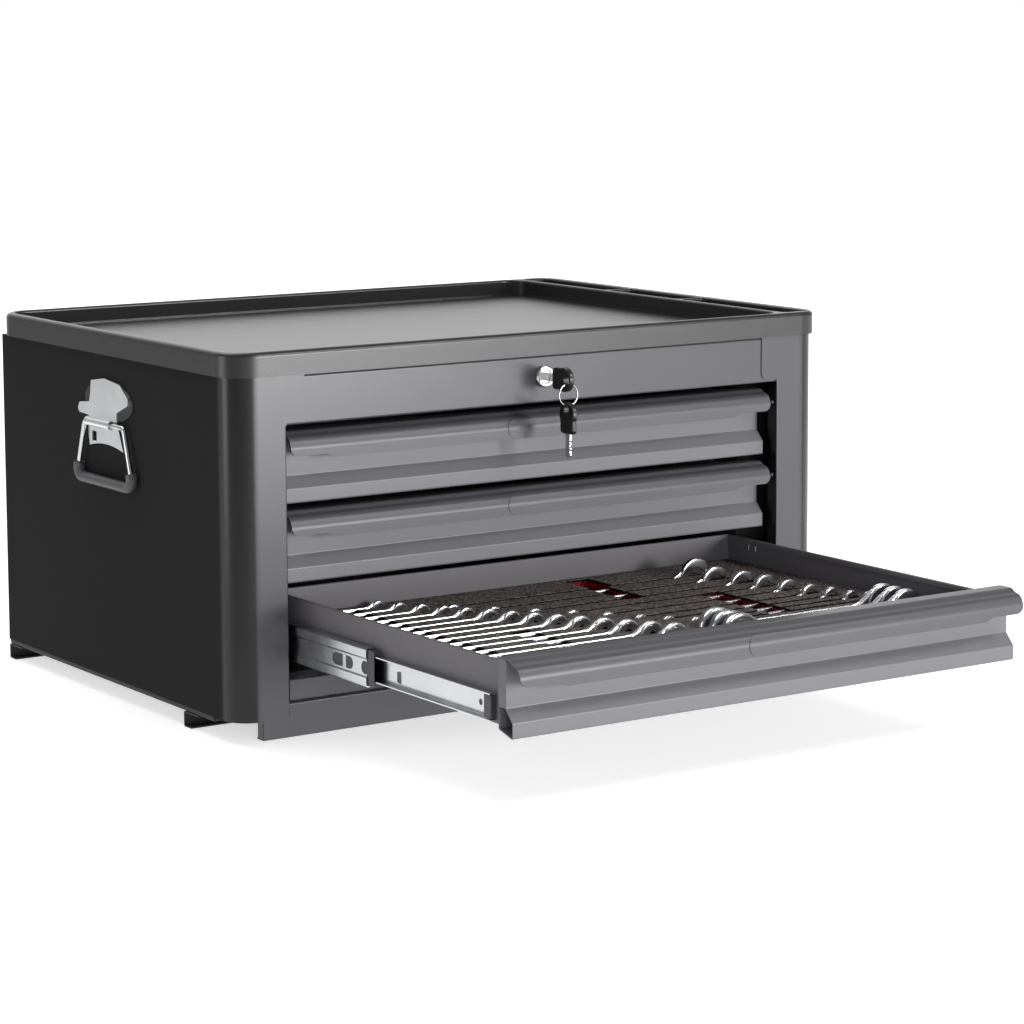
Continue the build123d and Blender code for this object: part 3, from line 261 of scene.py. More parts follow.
class ToolBoxFinish(bpy.types.PropertyGroup):
    """Colours and patterns of the tool box."""

    front_paint: StringProperty(name="Front paint", description="Frame and column paint", default="#424145")
    # Painted shade: the near-black of the side and back stands in for the shade they are in.
    side_paint: StringProperty(name="Side shade paint", description="Side and back paint", default="#0d0b0a")
    drawer_paint: StringProperty(name="Drawer paint", description="Drawer fronts", default="#5d5c60")
    box_paint: StringProperty(name="Box paint", description="Drawer boxes", default="#605e62")
    grip: StringProperty(name="Grip", description="Grip moulding", default="#444347")
    tray: StringProperty(name="Tray", description="Tray moulding", default="#222123")
    foam: StringProperty(name="Foam", description="Inlay foam", default="#7c7571")
    under_foam: StringProperty(name="Under foam", description="Inlay underlayer", default="#96161c")
    grain_mm: FloatProperty(name="Grain", description="Grain of the tray in millimetres", default=1.4)
    speckle_mm: FloatProperty(name="Speckle", description="Foam speckle in millimetres", default=1.9)
    skin_mm: FloatProperty(name="Skin", description="Foam's dark layer in millimetres", default=3.0)
    shank_share: FloatProperty(name="Shank", description="Shank height over head height", default=0.42)


class ToolBoxStage(bpy.types.PropertyGroup):
    """Camera and light."""

    azimuth: FloatProperty(
        name="Azimuth", description="Camera left of the front", default=math.radians(33.998), subtype="ANGLE"
    )
    elevation: FloatProperty(
        name="Elevation", description="Camera above level", default=math.radians(7.06), subtype="ANGLE"
    )
    roll: FloatProperty(name="Roll", description="Camera roll", default=math.radians(-0.242), subtype="ANGLE")
    distance: FloatProperty(name="Distance", description="Camera distance", default=3.39857, unit="LENGTH")
    lens: FloatProperty(name="Lens", description="Focal length", default=110.746, unit="CAMERA")
    shift: FloatProperty(name="Shift", description="Upward shift of the view", default=-0.1172)
    shift_aside: FloatProperty(name="Shift aside", description="Rightward shift", default=-0.0073)
    fill: FloatProperty(name="Fill", description="Strength of the surrounding light", default=0.25)
    back_wall: FloatProperty(name="Back wall", description="Strength of the wall behind", default=1.5)
    paper: FloatProperty(name="Paper", description="Whiteness added to the floor", default=0.3)
    bounce: FloatProperty(name="Bounce", description="Light the floor throws back", default=0.85)
    floor_size: FloatProperty(name="Floor", description="Floor size", default=60.0, unit="LENGTH")


# Materials


def satin_coat(name, colour, roughness=0.32, specular=0.5):
    """Polyester powder coat, baked on steel: satin, with a faint orange peel about 1.5 mm across."""
    shade = "#d0d0d0", (0.2, 0.8), 0.05
    shine = roughness - 0.01, roughness + 0.01
    material, shader = clouded(name, colour, (60, 3.0), shade, shine, (PEEL_MM, 0.02, 0.5))
    shader.inputs["Specular IOR Level"].default_value = specular
    return material


def smooth_moulding(name, colour, roughness=0.38, specular=0.4):
    """Injection-moulded polypropylene or nylon, or rubber: satin, with a very slight flow mottle."""
    shade = "#c8c8c8", (0.3, 0.7), 0.12
    shine = roughness - 0.05, roughness + 0.05
    material, shader = clouded(name, colour, (25, 3.0), shade, shine, (0.8, 0.01, 0.4))
    shader.inputs["Specular IOR Level"].default_value = specular
    return material


def plated(name, colour, roughness=0.24, mottle=0.15):
    """Plated steel or zinc: a metal with a slightly clouded shine and a fine uneven grain."""
    shade = "#a8acb0", (0.3, 0.7), mottle
    shine = roughness - 0.05, roughness + 0.08
    material, shader = clouded(name, colour, (12, 4.0), shade, shine, (0.7, 0.008, 0.3))
    shader.inputs["Metallic"].default_value = 1.0
    return material


def coat_with_painted_side_shade(name, side, front, corner, radius, specular=0.42):
    """Powder coat whose side and round corner are painted dark as painted shade, and whose front keeps the
    grey.

    Tone and gloss follow the distance behind the front face. The front is satin and the side nearly matt.
    """
    material, tree, shader, where = new_material(name)
    behind = add_node(tree, "ShaderNodeSeparateXYZ", {"Vector": where}).outputs["Y"]
    peel = add_node(tree, "ShaderNodeTexNoise", {"Vector": where, "Scale": blob_scale(PEEL_MM)})
    cloud = add_node(tree, "ShaderNodeTexNoise", {"Vector": where, "Scale": blob_scale(80), "Detail": 3.0})
    # Painted shade: just behind the front face the front grey turns to the dark side colour, which stands in
    # for the shade on the side.
    side_shade_turn = add_node(
        tree,
        "ShaderNodeMapRange",
        {"Value": behind, "From Min": corner, "From Max": corner + radius * 0.03},
        interpolation_type="SMOOTHSTEP",
    )
    tone = add_node(
        tree,
        "ShaderNodeMix",
        {"A": linear(front), "B": linear(side), "Factor": side_shade_turn.outputs["Result"]},
        data_type="RGBA",
    )
    matt = add_node(
        tree,
        "ShaderNodeMapRange",
        {
            "Value": behind,
            "From Min": corner + radius * 0.8,
            "From Max": corner + radius * 1.2,
            "To Min": 0.28,
            "To Max": 1.0,
        },
        interpolation_type="SMOOTHSTEP",
    )
    bump = add_node(
        tree, "ShaderNodeBump", {"Height": peel.outputs["Fac"], "Strength": 0.5, "Distance": 0.02 * MM}
    )
    colour = shaded(tree, tone.outputs["Result"], cloud.outputs["Fac"], "#d0d0d0", (0.35, 0.65), 0.10)
    set_inputs(
        tree,
        shader,
        {
            "Base Color": colour,
            "Roughness": matt.outputs["Result"],
            "Specular IOR Level": specular,
            "Normal": bump.outputs["Normal"],
        },
    )
    return material


def grained_abs(name, colour, shaded_wall_colour, grain_mm, wall, depth_mm=0.16, roughness=0.34, specular=0.5):
    """Moulded ABS with a leather grain eroded into the mould: small raised cells with fine valleys.

    The inner back wall, given as (y, lowest z, highest z), is matt and painted darker as painted shade.
    """
    material, tree, shader, where = new_material(name)
    cells = add_node(tree, "ShaderNodeTexVoronoi", {"Vector": where, "Scale": 1 / (grain_mm * MM)})
    fine = add_node(
        tree, "ShaderNodeTexNoise", {"Vector": where, "Scale": blob_scale(grain_mm * 0.6), "Detail": 3.0}
    ).outputs["Fac"]
    height = add_node(tree, "ShaderNodeMath", {0: cells.outputs["Distance"], 1: fine}, operation="MULTIPLY")
    split = add_node(tree, "ShaderNodeSeparateXYZ", {"Vector": where})
    deep, foot, top = wall
    shaded_wall_mask = 1.0
    for axis, outside, inside in (
        ("Y", deep - 11 * MM, deep - 1 * MM),
        ("Y", deep + 1.5 * MM, deep + 1 * MM),
        ("Z", foot - 0.5 * MM, foot + 0.5 * MM),
        ("Z", top, top - 0.5 * MM),
    ):
        edge = add_node(
            tree,
            "ShaderNodeMapRange",
            {"Value": split.outputs[axis], "From Min": outside, "From Max": inside},
            interpolation_type="SMOOTHSTEP",
        )
        shaded_wall_mask = add_node(
            tree, "ShaderNodeMath", {0: shaded_wall_mask, 1: edge.outputs["Result"]}, operation="MULTIPLY"
        ).outputs["Value"]
    # Painted shade: the inner back wall's colour is mixed towards the darker wall colour.
    tone = add_node(
        tree,
        "ShaderNodeMix",
        {"A": linear(colour), "B": linear(shaded_wall_colour), "Factor": shaded_wall_mask},
        data_type="RGBA",
    )
    matt = add_node(tree, "ShaderNodeMapRange", {"Value": shaded_wall_mask, "To Min": roughness, "To Max": 1.0})
    bump = add_node(
        tree,
        "ShaderNodeBump",
        {"Height": height.outputs["Value"], "Strength": 0.6, "Distance": depth_mm * MM},
    )
    set_inputs(
        tree,
        shader,
        {
            "Base Color": shaded(tree, tone.outputs["Result"], fine, "#8c8c8c", (0.3, 0.7), 0.25),
            "Roughness": matt.outputs["Result"],
            "Specular IOR Level": specular,
            "Normal": bump.outputs["Normal"],
        },
    )
    return material


def layered_foam(name, colour, slot_wall_shade_colour, under_colour, speckle_mm, top, under):
    """Two-layer EVA foam cut by water jet: a speckled dark skin over a red core.

    The core starts at the height `under`, so the cut walls of the slots show red below their lip. From half a
    millimetre down, the skin's cut walls are painted near black as painted shade in the slots, darker than
    its top. The specks are drawn a little coarser than the real ones, which are under a pixel wide.
    """
    material, tree, shader, where = new_material(name)
    cells = add_node(tree, "ShaderNodeTexVoronoi", {"Vector": where, "Scale": 1 / (speckle_mm * MM)})
    grey = add_node(tree, "ShaderNodeSeparateColor", {"Color": cells.outputs["Color"]}).outputs["Red"]
    height = add_node(tree, "ShaderNodeSeparateXYZ", {"Vector": where}).outputs["Z"]
    tone = linear(under_colour)
    # Painted shade: below its top half millimetre the skin's cut wall takes the near-black colour.
    for level, layer in ((under, slot_wall_shade_colour), (top - 0.5 * MM, colour)):
        above = add_node(tree, "ShaderNodeMath", {0: height, 1: level}, operation="GREATER_THAN")
        tone = add_node(
            tree,
            "ShaderNodeMix",
            {"A": tone, "B": linear(layer), "Factor": above.outputs["Value"]},
            data_type="RGBA",
        ).outputs["Result"]
    specks = linear("#484848")
    for low, high, lighter in ((0.0, 0.5, "#b0aca8"), (0.5, 0.9, WHITE)):
        step = add_node(tree, "ShaderNodeMapRange", {"Value": grey, "From Min": low, "From Max": high})
        specks = add_node(
            tree,
            "ShaderNodeMix",
            {"A": specks, "B": linear(lighter), "Factor": step.outputs["Result"]},
            data_type="RGBA",
        ).outputs["Result"]
    base = add_node(
        tree,
        "ShaderNodeMix",
        {"A": tone, "B": specks, "Factor": 1.0},
        data_type="RGBA",
        blend_type="MULTIPLY",
    )
    pores = add_node(tree, "ShaderNodeTexNoise", {"Vector": where, "Scale": blob_scale(0.9), "Detail": 3.0})
    bump = add_node(
        tree, "ShaderNodeBump", {"Height": pores.outputs["Fac"], "Strength": 0.6, "Distance": 0.3 * MM}
    )
    set_inputs(
        tree,
        shader,
        {
            "Base Color": base.outputs["Result"],
            "Roughness": 0.85,
            "Specular IOR Level": 0.2,
            "Normal": bump.outputs["Normal"],
        },
    )
    return material


# Surfaces as whole arrays


def grid_faces(rows, columns, closed_rows=False):
    """Quads over a grid of rows x columns points whose columns close on themselves."""
    last = rows if closed_rows else rows - 1
    r, c = np.meshgrid(np.arange(last), np.arange(columns), indexing="ij")
    up, on = (r + 1) % rows, (c + 1) % columns
    quads = np.stack([r * columns + c, r * columns + on, up * columns + on, up * columns + c], axis=-1)
    return quads.reshape(-1, 4).tolist()


def section(count, power):
    """Superellipse |u|^n + |v|^n = 1 with n = 2 / power, as two arrays of count points."""
    turn = np.linspace(0, 2 * np.pi, count, endpoint=False)
    u, v = np.cos(turn), np.sin(turn)
    return np.sign(u) * np.abs(u) ** power, np.sign(v) * np.abs(v) ** power


def add_mesh(name, parts, material, body):
    """Joins (points, faces) parts into one smooth object that rides on a body."""
    points, faces = [], []
    for part_points, part_faces in parts:
        faces.extend([[i + len(points) for i in face] for face in part_faces])
        points.extend(part_points)
    mesh = bpy.data.meshes.new(name)
    mesh.from_pydata(points, [], faces)
    mesh.polygons.foreach_set("use_smooth", [True] * len(mesh.polygons))
    mesh.materials.append(material)
    mesh.update()
    mesh.set_sharp_from_angle(angle=math.radians(40))
    thing = bpy.data.objects.new(name, mesh)
    bpy.context.scene.collection.objects.link(thing)
    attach(thing, body)
    return thing


def ring_head(centre, outer, bore, half_thick):
    """Ring of a wrench in an XZ plane: a profile of radius and half thickness turned about the Y axis.

    The rim is a quarter ellipse on each side, the faces are flat with a groove half a millimetre deep between
    0.70 and 0.78 of the outer radius, and the profile closes through the bore.
    """
    steps = 48
    edge = min(1.3 * MM, half_thick)
    turn = np.linspace(0, np.pi / 2, 5)
    rim_r, rim_y = outer - edge + edge * np.cos(turn), half_thick * np.sin(turn)
    face_r = outer * np.array([0.78, 0.77, 0.71, 0.70, bore / outer])
    face_y = half_thick - np.array([0.0, 0.5, 0.5, 0.0, 0.0]) * MM
    half_r, half_y = np.concatenate([rim_r, face_r]), np.concatenate([rim_y, face_y])
    radius = np.concatenate([half_r, half_r[:0:-1]])
    deep = np.concatenate([half_y, -half_y[:0:-1]])
    along = np.linspace(0, 2 * np.pi, steps, endpoint=False)[:, None]
    x = centre[0] + radius * np.cos(along)
    y = centre[1] + deep + 0 * along
    z = centre[2] + radius * np.sin(along)
    points = np.stack([x, y, z], axis=-1).reshape(-1, 3)
    return points.tolist(), grid_faces(steps, len(radius), closed_rows=True)


def jaw_head(centre, outer, inner, half_thick, start, end):
    """Open jaw in an XZ plane: a nearly square superellipse section swept along an arc.

    Radius R = (outer + inner) / 2, radial half width (outer - inner) / 2, half thickness along Y;
    the tips taper as sqrt(1 - |s|^8), s running from -1 to 1 along the arc, down to a fiftieth.
    """
    steps, around = 44, 24
    along = np.linspace(start, end, steps)
    s = np.linspace(-1, 1, steps)
    taper = np.sqrt(np.clip(1 - np.abs(s) ** 8, 0.0004, 1))[:, None]
    u, v = section(around, 0.4)
    radius = (outer + inner) / 2 + (outer - inner) / 2 * taper * u[None, :]
    x = centre[0] + radius * np.cos(along)[:, None]
    y = centre[1] + half_thick * taper * v[None, :]
    z = centre[2] + radius * np.sin(along)[:, None]
    points = np.stack([x, y, z], axis=-1).reshape(-1, 3)
    return points.tolist(), grid_faces(steps, around)


def shank(left, right, y, top, height, half_thick, left_swell, right_swell):
    """Shank between two heads: superellipse sections along X that swell towards the heads.

    left and right are (x, z) of the head centres, and the swells are (head radius, share of it). The half
    height grows from height / 2 to that share of the radius over 1.3 of the radius, by the smooth step
    3 t^2 - 2 t^3, and its middle moves to the head's centre with it.
    """
    steps, around = 60, 14
    x = np.linspace(left[0] + 0.6 * left_swell[0], right[0] - 0.6 * right_swell[0], steps)
    middle = top - height / 2
    swells = (left[0], *left_swell), (right[0], *right_swell)
    near = [np.clip(1 - (np.abs(x - place) - 0.55 * r) / (1.3 * r), 0, 1) for place, r, share in swells]
    near = [3 * t ** 2 - 2 * t ** 3 for t in near]
    half = height / 2 + sum(t * (share * r - height / 2) for t, (place, r, share) in zip(near, swells))
    centre = middle + sum(t * (head - middle) for t, head in zip(near, (left[1], right[1])))
    u, v = section(around, 0.75)
    points = np.stack(
        [
            np.repeat(x[:, None], around, axis=1),
            np.full((steps, around), y) + half_thick * u[None, :],
            centre[:, None] + half[:, None] * v[None, :],
        ],
        axis=-1,
    ).reshape(-1, 3)
    ends = [list(range(around - 1, -1, -1)), list(range((steps - 1) * around, steps * around))]
    return points.tolist(), grid_faces(steps, around) + ends


def wrench(y, foam_top, shank_share, ends, heads, sinks, thick, rise, ring_first):
    """One wrench on edge in the foam: a ring, a jaw and the shank between them, as (points, faces) parts.

    All but y and foam_top are in millimetres. The ring is on the left where ring_first is true.
    """
    centres = (
        ((ends[0] + heads[0] / 2) * MM, foam_top - sinks[0] * MM),
        ((ends[1] - heads[1] / 2) * MM, foam_top - sinks[1] * MM),
    )
    parts, swells = [], []
    for head, (x, z), ring, outward, tilt in zip(
        heads, centres, (ring_first, not ring_first), (math.pi, 0.0), (JAW_TILT, -JAW_TILT)
    ):
        radius = head / 2 * MM
        if ring:
            parts.append(ring_head((x, y, z), radius, radius * RING_BORE, thick * RING_THICK * MM))
        else:
            start = outward + tilt + JAW_HALF_GAP
            end = outward + tilt + 2 * math.pi - JAW_HALF_GAP
            parts.append(jaw_head((x, y, z), radius, radius * JAW_MOUTH, thick * JAW_THICK * MM, start, end))
        swells.append((radius, RAISED_SWELL if rise > 0 else SUNK_SWELL))
    height = shank_share * min(heads) * MM
    parts.append(shank(*centres, y, foam_top + rise * MM, height, thick * SHANK_THICK * MM, *swells))
    return parts


def small_wrenches(back, foam_top, shank_share):
    """Parts of the left column and of the right column."""
    parts = []
    for row in range(LEFT_COUNT):
        share = row / (LEFT_COUNT - 1)
        reach, head, thick = (
            first + (last - first) * share for first, last in (LEFT_REACH, LEFT_HEAD, LEFT_THICK)
        )
        y = back - (LEFT_FIRST + LEFT_PITCH * row) * MM
        ends, heads = (LEFT_END, reach), (head, head)
        parts += wrench(y, foam_top, shank_share, ends, heads, LEFT_SINKS, thick, LEFT_RISE, False)
    for place, left, right, left_head, right_head, sink in RIGHT_ROWS:
        y = back - place * MM
        ends, heads = (left, right), (left_head, right_head)
        sinks = left_head / 2 - RIGHT_RING_RISE, sink
        parts += wrench(y, foam_top, shank_share, ends, heads, sinks, RIGHT_THICK, RIGHT_RISE, True)
    return parts


def large_wrenches(back, foam_top, shank_share):
    """Parts of the three large ones."""
    parts = []
    for place in LARGE_PLACES:
        y = back - place * MM
        parts += wrench(
            y, foam_top, shank_share, LARGE_ENDS, LARGE_HEADS, LARGE_SINKS, LARGE_THICK, LARGE_RISE, True
        )
    return parts


# Stage


def studio_world(view):
    """White to the camera and through glass. The object sees a dim room, bright only at the back right."""
    world = bpy.data.worlds.new("Studio")
    world.use_nodes = True
    tree = world.node_tree
    tree.nodes.clear()
    path = add_node(tree, "ShaderNodeLightPath")
    seen = add_node(
        tree,
        "ShaderNodeMath",
        {0: path.outputs["Is Camera Ray"], 1: path.outputs["Is Transmission Ray"]},
        operation="MAXIMUM",
    )
    generated = add_node(tree, "ShaderNodeTexCoord").outputs["Generated"]
    toward = add_node(tree, "ShaderNodeSeparateXYZ", {"Vector": generated})
    rightward = add_node(
        tree, "ShaderNodeMapRange", {"Value": toward.outputs["X"], "From Min": -0.45, "From Max": 0.1}
    )
    backward = add_node(
        tree, "ShaderNodeMapRange", {"Value": toward.outputs["Y"], "From Min": 0.3, "From Max": 0.75}
    )
    corner = add_node(
        tree,
        "ShaderNodeMath",
        {0: rightward.outputs["Result"], 1: backward.outputs["Result"]},
        operation="MULTIPLY",
    )
    strength = add_node(
        tree,
        "ShaderNodeMapRange",
        {"Value": corner.outputs["Value"], "To Min": view.fill, "To Max": view.back_wall},
    )
    room = add_node(
        tree, "ShaderNodeBackground", {"Color": linear(WHITE), "Strength": strength.outputs["Result"]}
    )
    white = add_node(tree, "ShaderNodeBackground", {"Color": linear(WHITE), "Strength": 1.0})
    mix = add_node(
        tree,
        "ShaderNodeMixShader",
        {0: seen.outputs["Value"], 1: room.outputs["Background"], 2: white.outputs["Background"]},
    )
    add_node(tree, "ShaderNodeOutputWorld", {"Surface": mix.outputs["Shader"]})
    return world


def paper_sweep(view):
    """Matt white paper that clears to white away from the object, and keeps the shadow close to it.

    To the camera it glows more with the distance. The light that it throws back fades towards the left.
    """
    material, tree, shader, where = new_material("Paper sweep")
    path = add_node(tree, "ShaderNodeLightPath")
    away = add_node(tree, "ShaderNodeVectorMath", {"Vector": where}, operation="LENGTH")
    shown = add_node(
        tree,
        "ShaderNodeMapRange",
        {
            "Value": away.outputs["Value"],
            "From Min": 0.9,
            "From Max": 3.0,
            "To Min": view.paper + 0.28,
            "To Max": view.paper + 0.8,
        },
        interpolation_type="SMOOTHSTEP",
    )
    across = add_node(tree, "ShaderNodeSeparateXYZ", {"Vector": where})
    bounced = add_node(
        tree,
        "ShaderNodeMapRange",
        {
            "Value": across.outputs["X"],
            "From Min": -1.1,
            "From Max": 0.1,
            "To Min": 0.03,
            "To Max": view.bounce,
        },
        interpolation_type="SMOOTHSTEP",
    )
    glow = add_node(
        tree,
        "ShaderNodeMix",
        {
            "Factor": path.outputs["Is Camera Ray"],
            "A": bounced.outputs["Result"],
            "B": shown.outputs["Result"],
        },
    )
    set_inputs(
        tree,
        shader,
        {
            "Base Color": linear("#e8e8e8"),
            "Roughness": 0.9,
            "Specular IOR Level": 0.0,
            "Emission Color": linear(WHITE),
            "Emission Strength": glow.outputs["Result"],
        },
    )
    material.cycles.emission_sampling = "NONE"
    return material


def add_floor(view, middle, material):
    """Square floor under the object's middle."""
    half = view.floor_size / 2
    corners = [(-half, -half), (half, -half), (half, half), (-half, half)]
    mesh = bpy.data.meshes.new("floor")
    mesh.from_pydata([(middle.x + x, middle.y + y, 0.0) for x, y in corners], [], [(0, 1, 2, 3)])
    mesh.materials.append(material)
    floor = bpy.data.objects.new("floor", mesh)
    bpy.context.scene.collection.objects.link(floor)


def add_lamps(middle):
    """Softboxes that face the object's middle, unseen by the camera."""
    target = Vector((middle.x, middle.y, LAMP_TARGET_HEIGHT))
    for name, place, wide, high, power, mirrored in LAMPS:
        lamp = bpy.data.lights.new(name, "AREA")
        lamp.shape = "RECTANGLE"
        lamp.size = wide
        lamp.size_y = high
        lamp.energy = power
        thing = bpy.data.objects.new(name, lamp)
        thing.visible_camera = False
        thing.visible_glossy = mirrored
        thing.location = place
        thing.rotation_mode = "QUATERNION"
        thing.rotation_quaternion = (target - Vector(place)).to_track_quat("-Z", "Y")
        bpy.context.scene.collection.objects.link(thing)


def add_camera(view):
    """Camera of the photograph, from its angles about the target: back is from the target to the camera."""
    aside, ahead = math.sin(view.azimuth), math.cos(view.azimuth)
    level = math.cos(view.elevation)
    back = np.array([-aside * level, -ahead * level, math.sin(view.elevation)])
    flat = np.array([ahead, -aside, 0.0])
    up = np.cross(back, flat)
    right = flat * math.cos(view.roll) + up * math.sin(view.roll)
    top = up * math.cos(view.roll) - flat * math.sin(view.roll)
    place = CAMERA_TARGET + back * view.distance + flat * CAMERA_ASIDE + up * CAMERA_RAISED
    data = bpy.data.cameras.new("camera")
    data.lens = view.lens
    data.sensor_width = SENSOR_WIDTH_MM
    data.shift_x = view.shift_aside
    data.shift_y = view.shift
    camera = bpy.data.objects.new("camera", data)
    rows = [(right[i], top[i], back[i], place[i]) for i in range(3)]
    camera.matrix_world = Matrix(rows + [(0.0, 0.0, 0.0, 1.0)])
    bpy.context.scene.collection.objects.link(camera)
    bpy.context.scene.camera = camera


# Operators


class TOOLBOX_OT_cabinet(bpy.types.Operator):
    """Paints the cabinet's sheet metal"""

    bl_idname = "toolbox.cabinet"
    bl_label = "Cabinet paint"

    def execute(self, context):
        look = context.scene.tool_box_finish
        front_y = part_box("side_panel_left")[0].y
        # The side panels and the back panel are painted dark as painted shade.
        body = coat_with_painted_side_shade(
            "Powder-coated steel, body, side painted as shade", look.side_paint, look.front_paint, front_y, COLUMN_RADIUS
        )
        dress(body, "side_panel_left", "side_panel_right")
        dress(satin_coat("Powder-coated steel, back, painted as shade", look.side_paint, 0.46, 0.2), "back_panel")
        frame_coat = satin_coat("Powder-coated steel, frame", look.front_paint, 0.28, 0.42)
        dress(frame_coat, "top_rail", "lower_rail", "front_skirt")
        inner = satin_coat("Powder-coated steel, inside", "#2e2d2e", 0.5, 0.2)
        dress(inner, "bottom_pan", "top_panel", "front_foot_rail", "back_foot_rail")
        dress(inner, "slide_posts_left", "slide_posts_right", "rod_bracket")
        dress(plated("Zinc-plated steel, rivets", "#c4c6c8"), "body_rivets")
        return {"FINISHED"}


class TOOLBOX_OT_tray(bpy.types.Operator):
    """Gives the tray top its grained moulding"""

    bl_idname = "toolbox.tray"
    bl_label = "Tray top"

    def execute(self, context):
        look = context.scene.tool_box_finish
        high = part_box("top_tray")[1]
        wall = high.y - TRAY_WALL_IN, high.z - TRAY_WALL_FOOT, high.z - TRAY_WALL_TOP
        # The darker colour of the inner back wall is painted shade.
        dress(grained_abs("Moulded ABS, grained", look.tray, "#1e1e1f", look.grain_mm, wall), "top_tray")
        return {"FINISHED"}


class TOOLBOX_OT_drawers(bpy.types.Operator):
    """Finishes the drawer boxes, fronts and grips"""

    bl_idname = "toolbox.drawers"
    bl_label = "Drawers"

    def execute(self, context):
        look = context.scene.tool_box_finish
        boxes = satin_coat("Powder-coated steel, drawer boxes", look.box_paint, 0.45, 0.3)
        fronts = satin_coat("Powder-coated steel, drawer fronts", look.drawer_paint, 0.38, 0.36)
        grips = smooth_moulding("Moulded polypropylene, grips", look.grip)
        for number in "123":
            dress(boxes, "drawer_box_" + number)
            dress(fronts, "drawer_front_" + number)
            dress(grips, "drawer_grip_" + number)
        return {"FINISHED"}


class TOOLBOX_OT_slides(bpy.types.Operator):
    """Finishes the ball-bearing slides"""

    bl_idname = "toolbox.slides"
    bl_label = "Slides"

    def execute(self, context):
        steel = plated("Zinc-plated steel, slides", "#d4d6d8", 0.22)
        nylon = smooth_moulding("Moulded nylon, cages and bumpers", "#3c3b3e", 0.4)
        dress(steel, "cabinet_slides_left", "cabinet_slides_right")
        for number in "123":
            dress(steel, "drawer_slides_" + number, "middle_slides_" + number)
            dress(nylon, "ball_cages_" + number, "slide_bumpers_" + number)
        return {"FINISHED"}


class TOOLBOX_OT_lock(bpy.types.Operator):
    """Finishes the lock, its rod and bar, and the keys"""

    bl_idname = "toolbox.lock"
    bl_label = "Lock and keys"

    def execute(self, context):
        chrome = plated("Polished chrome, lock", "#dfe0e2", 0.12, 0.05)
        steel = plated("Zinc-plated steel, lock gear", "#c2c4c6", 0.3)
        nickel = plated("Nickel-plated brass, keys", "#d6d4d0", 0.2)
        nylon = smooth_moulding("Moulded nylon, key heads", "#191919", 0.3, 0.5)
        dress(chrome, "lock_housing", "lock_cylinder")
        dress(steel, "lock_nut", "torque_rod", "lock_bar", "lock_bar_guides")
        dress(nickel, "key_blade", "spare_key_blade", "key_ring")
        dress(nylon, "key_head", "spare_key_head")
        return {"FINISHED"}


class TOOLBOX_OT_handles(bpy.types.Operator):
    """Finishes the drop handles"""

    bl_idname = "toolbox.handles"
    bl_label = "Handles"

    def execute(self, context):
        zinc = plated("Die-cast zinc, bright plated", "#eeeff0", 0.3, 0.08)
        wire = plated("Nickel-plated wire, bails", "#dcdddf", 0.16)
        backer = smooth_moulding("Moulded nylon, backers", "#121213", 0.3, 0.4)
        rubber = smooth_moulding("Moulded rubber, grips", "#454447", 0.42, 0.5)
        for side in ("left", "right"):
            dress(zinc, "handle_plate_" + side)
            dress(wire, "bail_" + side)
            dress(rubber, "bail_grip_" + side)
        dress(backer, "handle_backers")
        return {"FINISHED"}


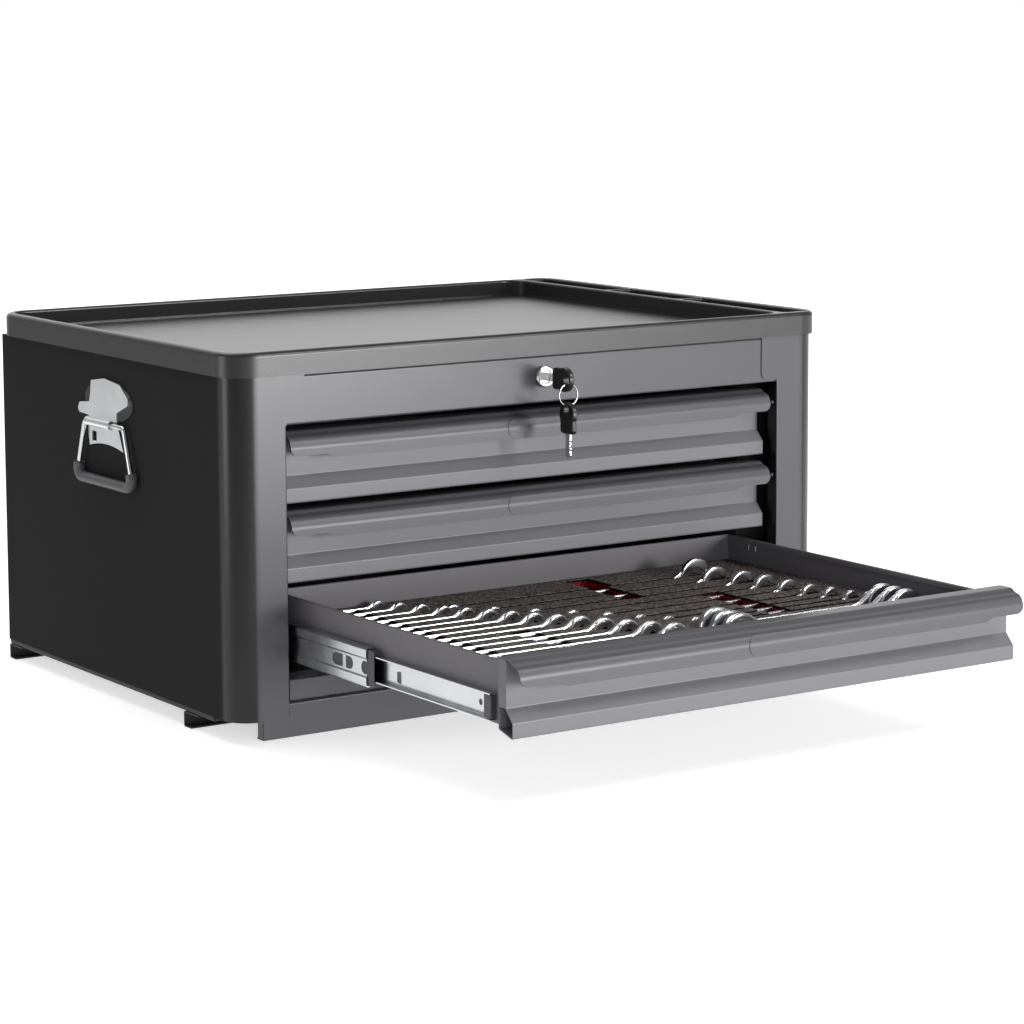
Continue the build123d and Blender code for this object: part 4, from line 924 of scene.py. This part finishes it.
class TOOLBOX_OT_inlay(bpy.types.Operator):
    """Finishes the foam inlay and its wrenches"""

    bl_idname = "toolbox.inlay"
    bl_label = "Inlay and wrenches"

    def execute(self, context):
        look = context.scene.tool_box_finish
        foam_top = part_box("foam_inlay")[1].z
        core = foam_top - look.skin_mm * MM
        # The near-black #141211 is painted shade on the slot walls of the foam's skin.
        foam = layered_foam(
            "EVA foam, two layers", look.foam, "#141211", look.under_foam, look.speckle_mm, foam_top, core
        )
        dress(foam, "foam_inlay", "foam_base")
        chrome = plated("Chrome vanadium, polished", "#d6d7da", 0.2, 0.05)
        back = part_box("drawer_box_3")[1].y - WRENCH_LINE
        small = small_wrenches(back, foam_top, look.shank_share)
        large = large_wrenches(back, foam_top, look.shank_share)
        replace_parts(add_mesh("wrenches_small", small, chrome, "drawer_3"), "small_wrenches")
        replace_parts(add_mesh("wrenches_large", large, chrome, "drawer_3"), "large_wrenches")
        return {"FINISHED"}


class TOOLBOX_OT_stage(bpy.types.Operator):
    """Adds the floor, the light and the camera"""

    bl_idname = "toolbox.stage"
    bl_label = "Stage"

    def execute(self, context):
        scene = context.scene
        view = scene.tool_box_stage
        middle = (CAD_BOX[0] + CAD_BOX[1]) / 2
        scene.view_settings.view_transform = "Standard"
        scene.world = studio_world(view)
        add_floor(view, middle, paper_sweep(view))
        add_lamps(middle)
        add_camera(view)
        return {"FINISHED"}


PIECES = (
    TOOLBOX_OT_cabinet,
    TOOLBOX_OT_tray,
    TOOLBOX_OT_drawers,
    TOOLBOX_OT_slides,
    TOOLBOX_OT_lock,
    TOOLBOX_OT_handles,
    TOOLBOX_OT_inlay,
    TOOLBOX_OT_stage,
)


class TOOLBOX_PT_panel(bpy.types.Panel):
    """Lists the tool box's steps and finishes"""

    bl_idname = "TOOLBOX_PT_panel"
    bl_label = "Tool box"
    bl_space_type = "VIEW_3D"
    bl_region_type = "UI"
    bl_category = "Tool box"

    def draw(self, context):
        for piece in PIECES:
            self.layout.operator(piece.bl_idname)
        for name in ToolBoxFinish.__annotations__:
            self.layout.prop(context.scene.tool_box_finish, name)
        for name in ToolBoxStage.__annotations__:
            self.layout.prop(context.scene.tool_box_stage, name)


CLASSES = (ToolBoxFinish, ToolBoxStage, *PIECES, TOOLBOX_PT_panel)


def register():
    for item in CLASSES:
        bpy.utils.register_class(item)
    bpy.types.Scene.tool_box_finish = PointerProperty(type=ToolBoxFinish)
    bpy.types.Scene.tool_box_stage = PointerProperty(type=ToolBoxStage)


def unregister():
    del bpy.types.Scene.tool_box_finish
    del bpy.types.Scene.tool_box_stage
    for item in reversed(CLASSES):
        bpy.utils.unregister_class(item)


def main():
    """Makes the whole scene."""
    register()
    for piece in PIECES:
        group, name = piece.bl_idname.split(".")
        getattr(getattr(bpy.ops, group), name)()


if __name__ == "__main__":
    main()
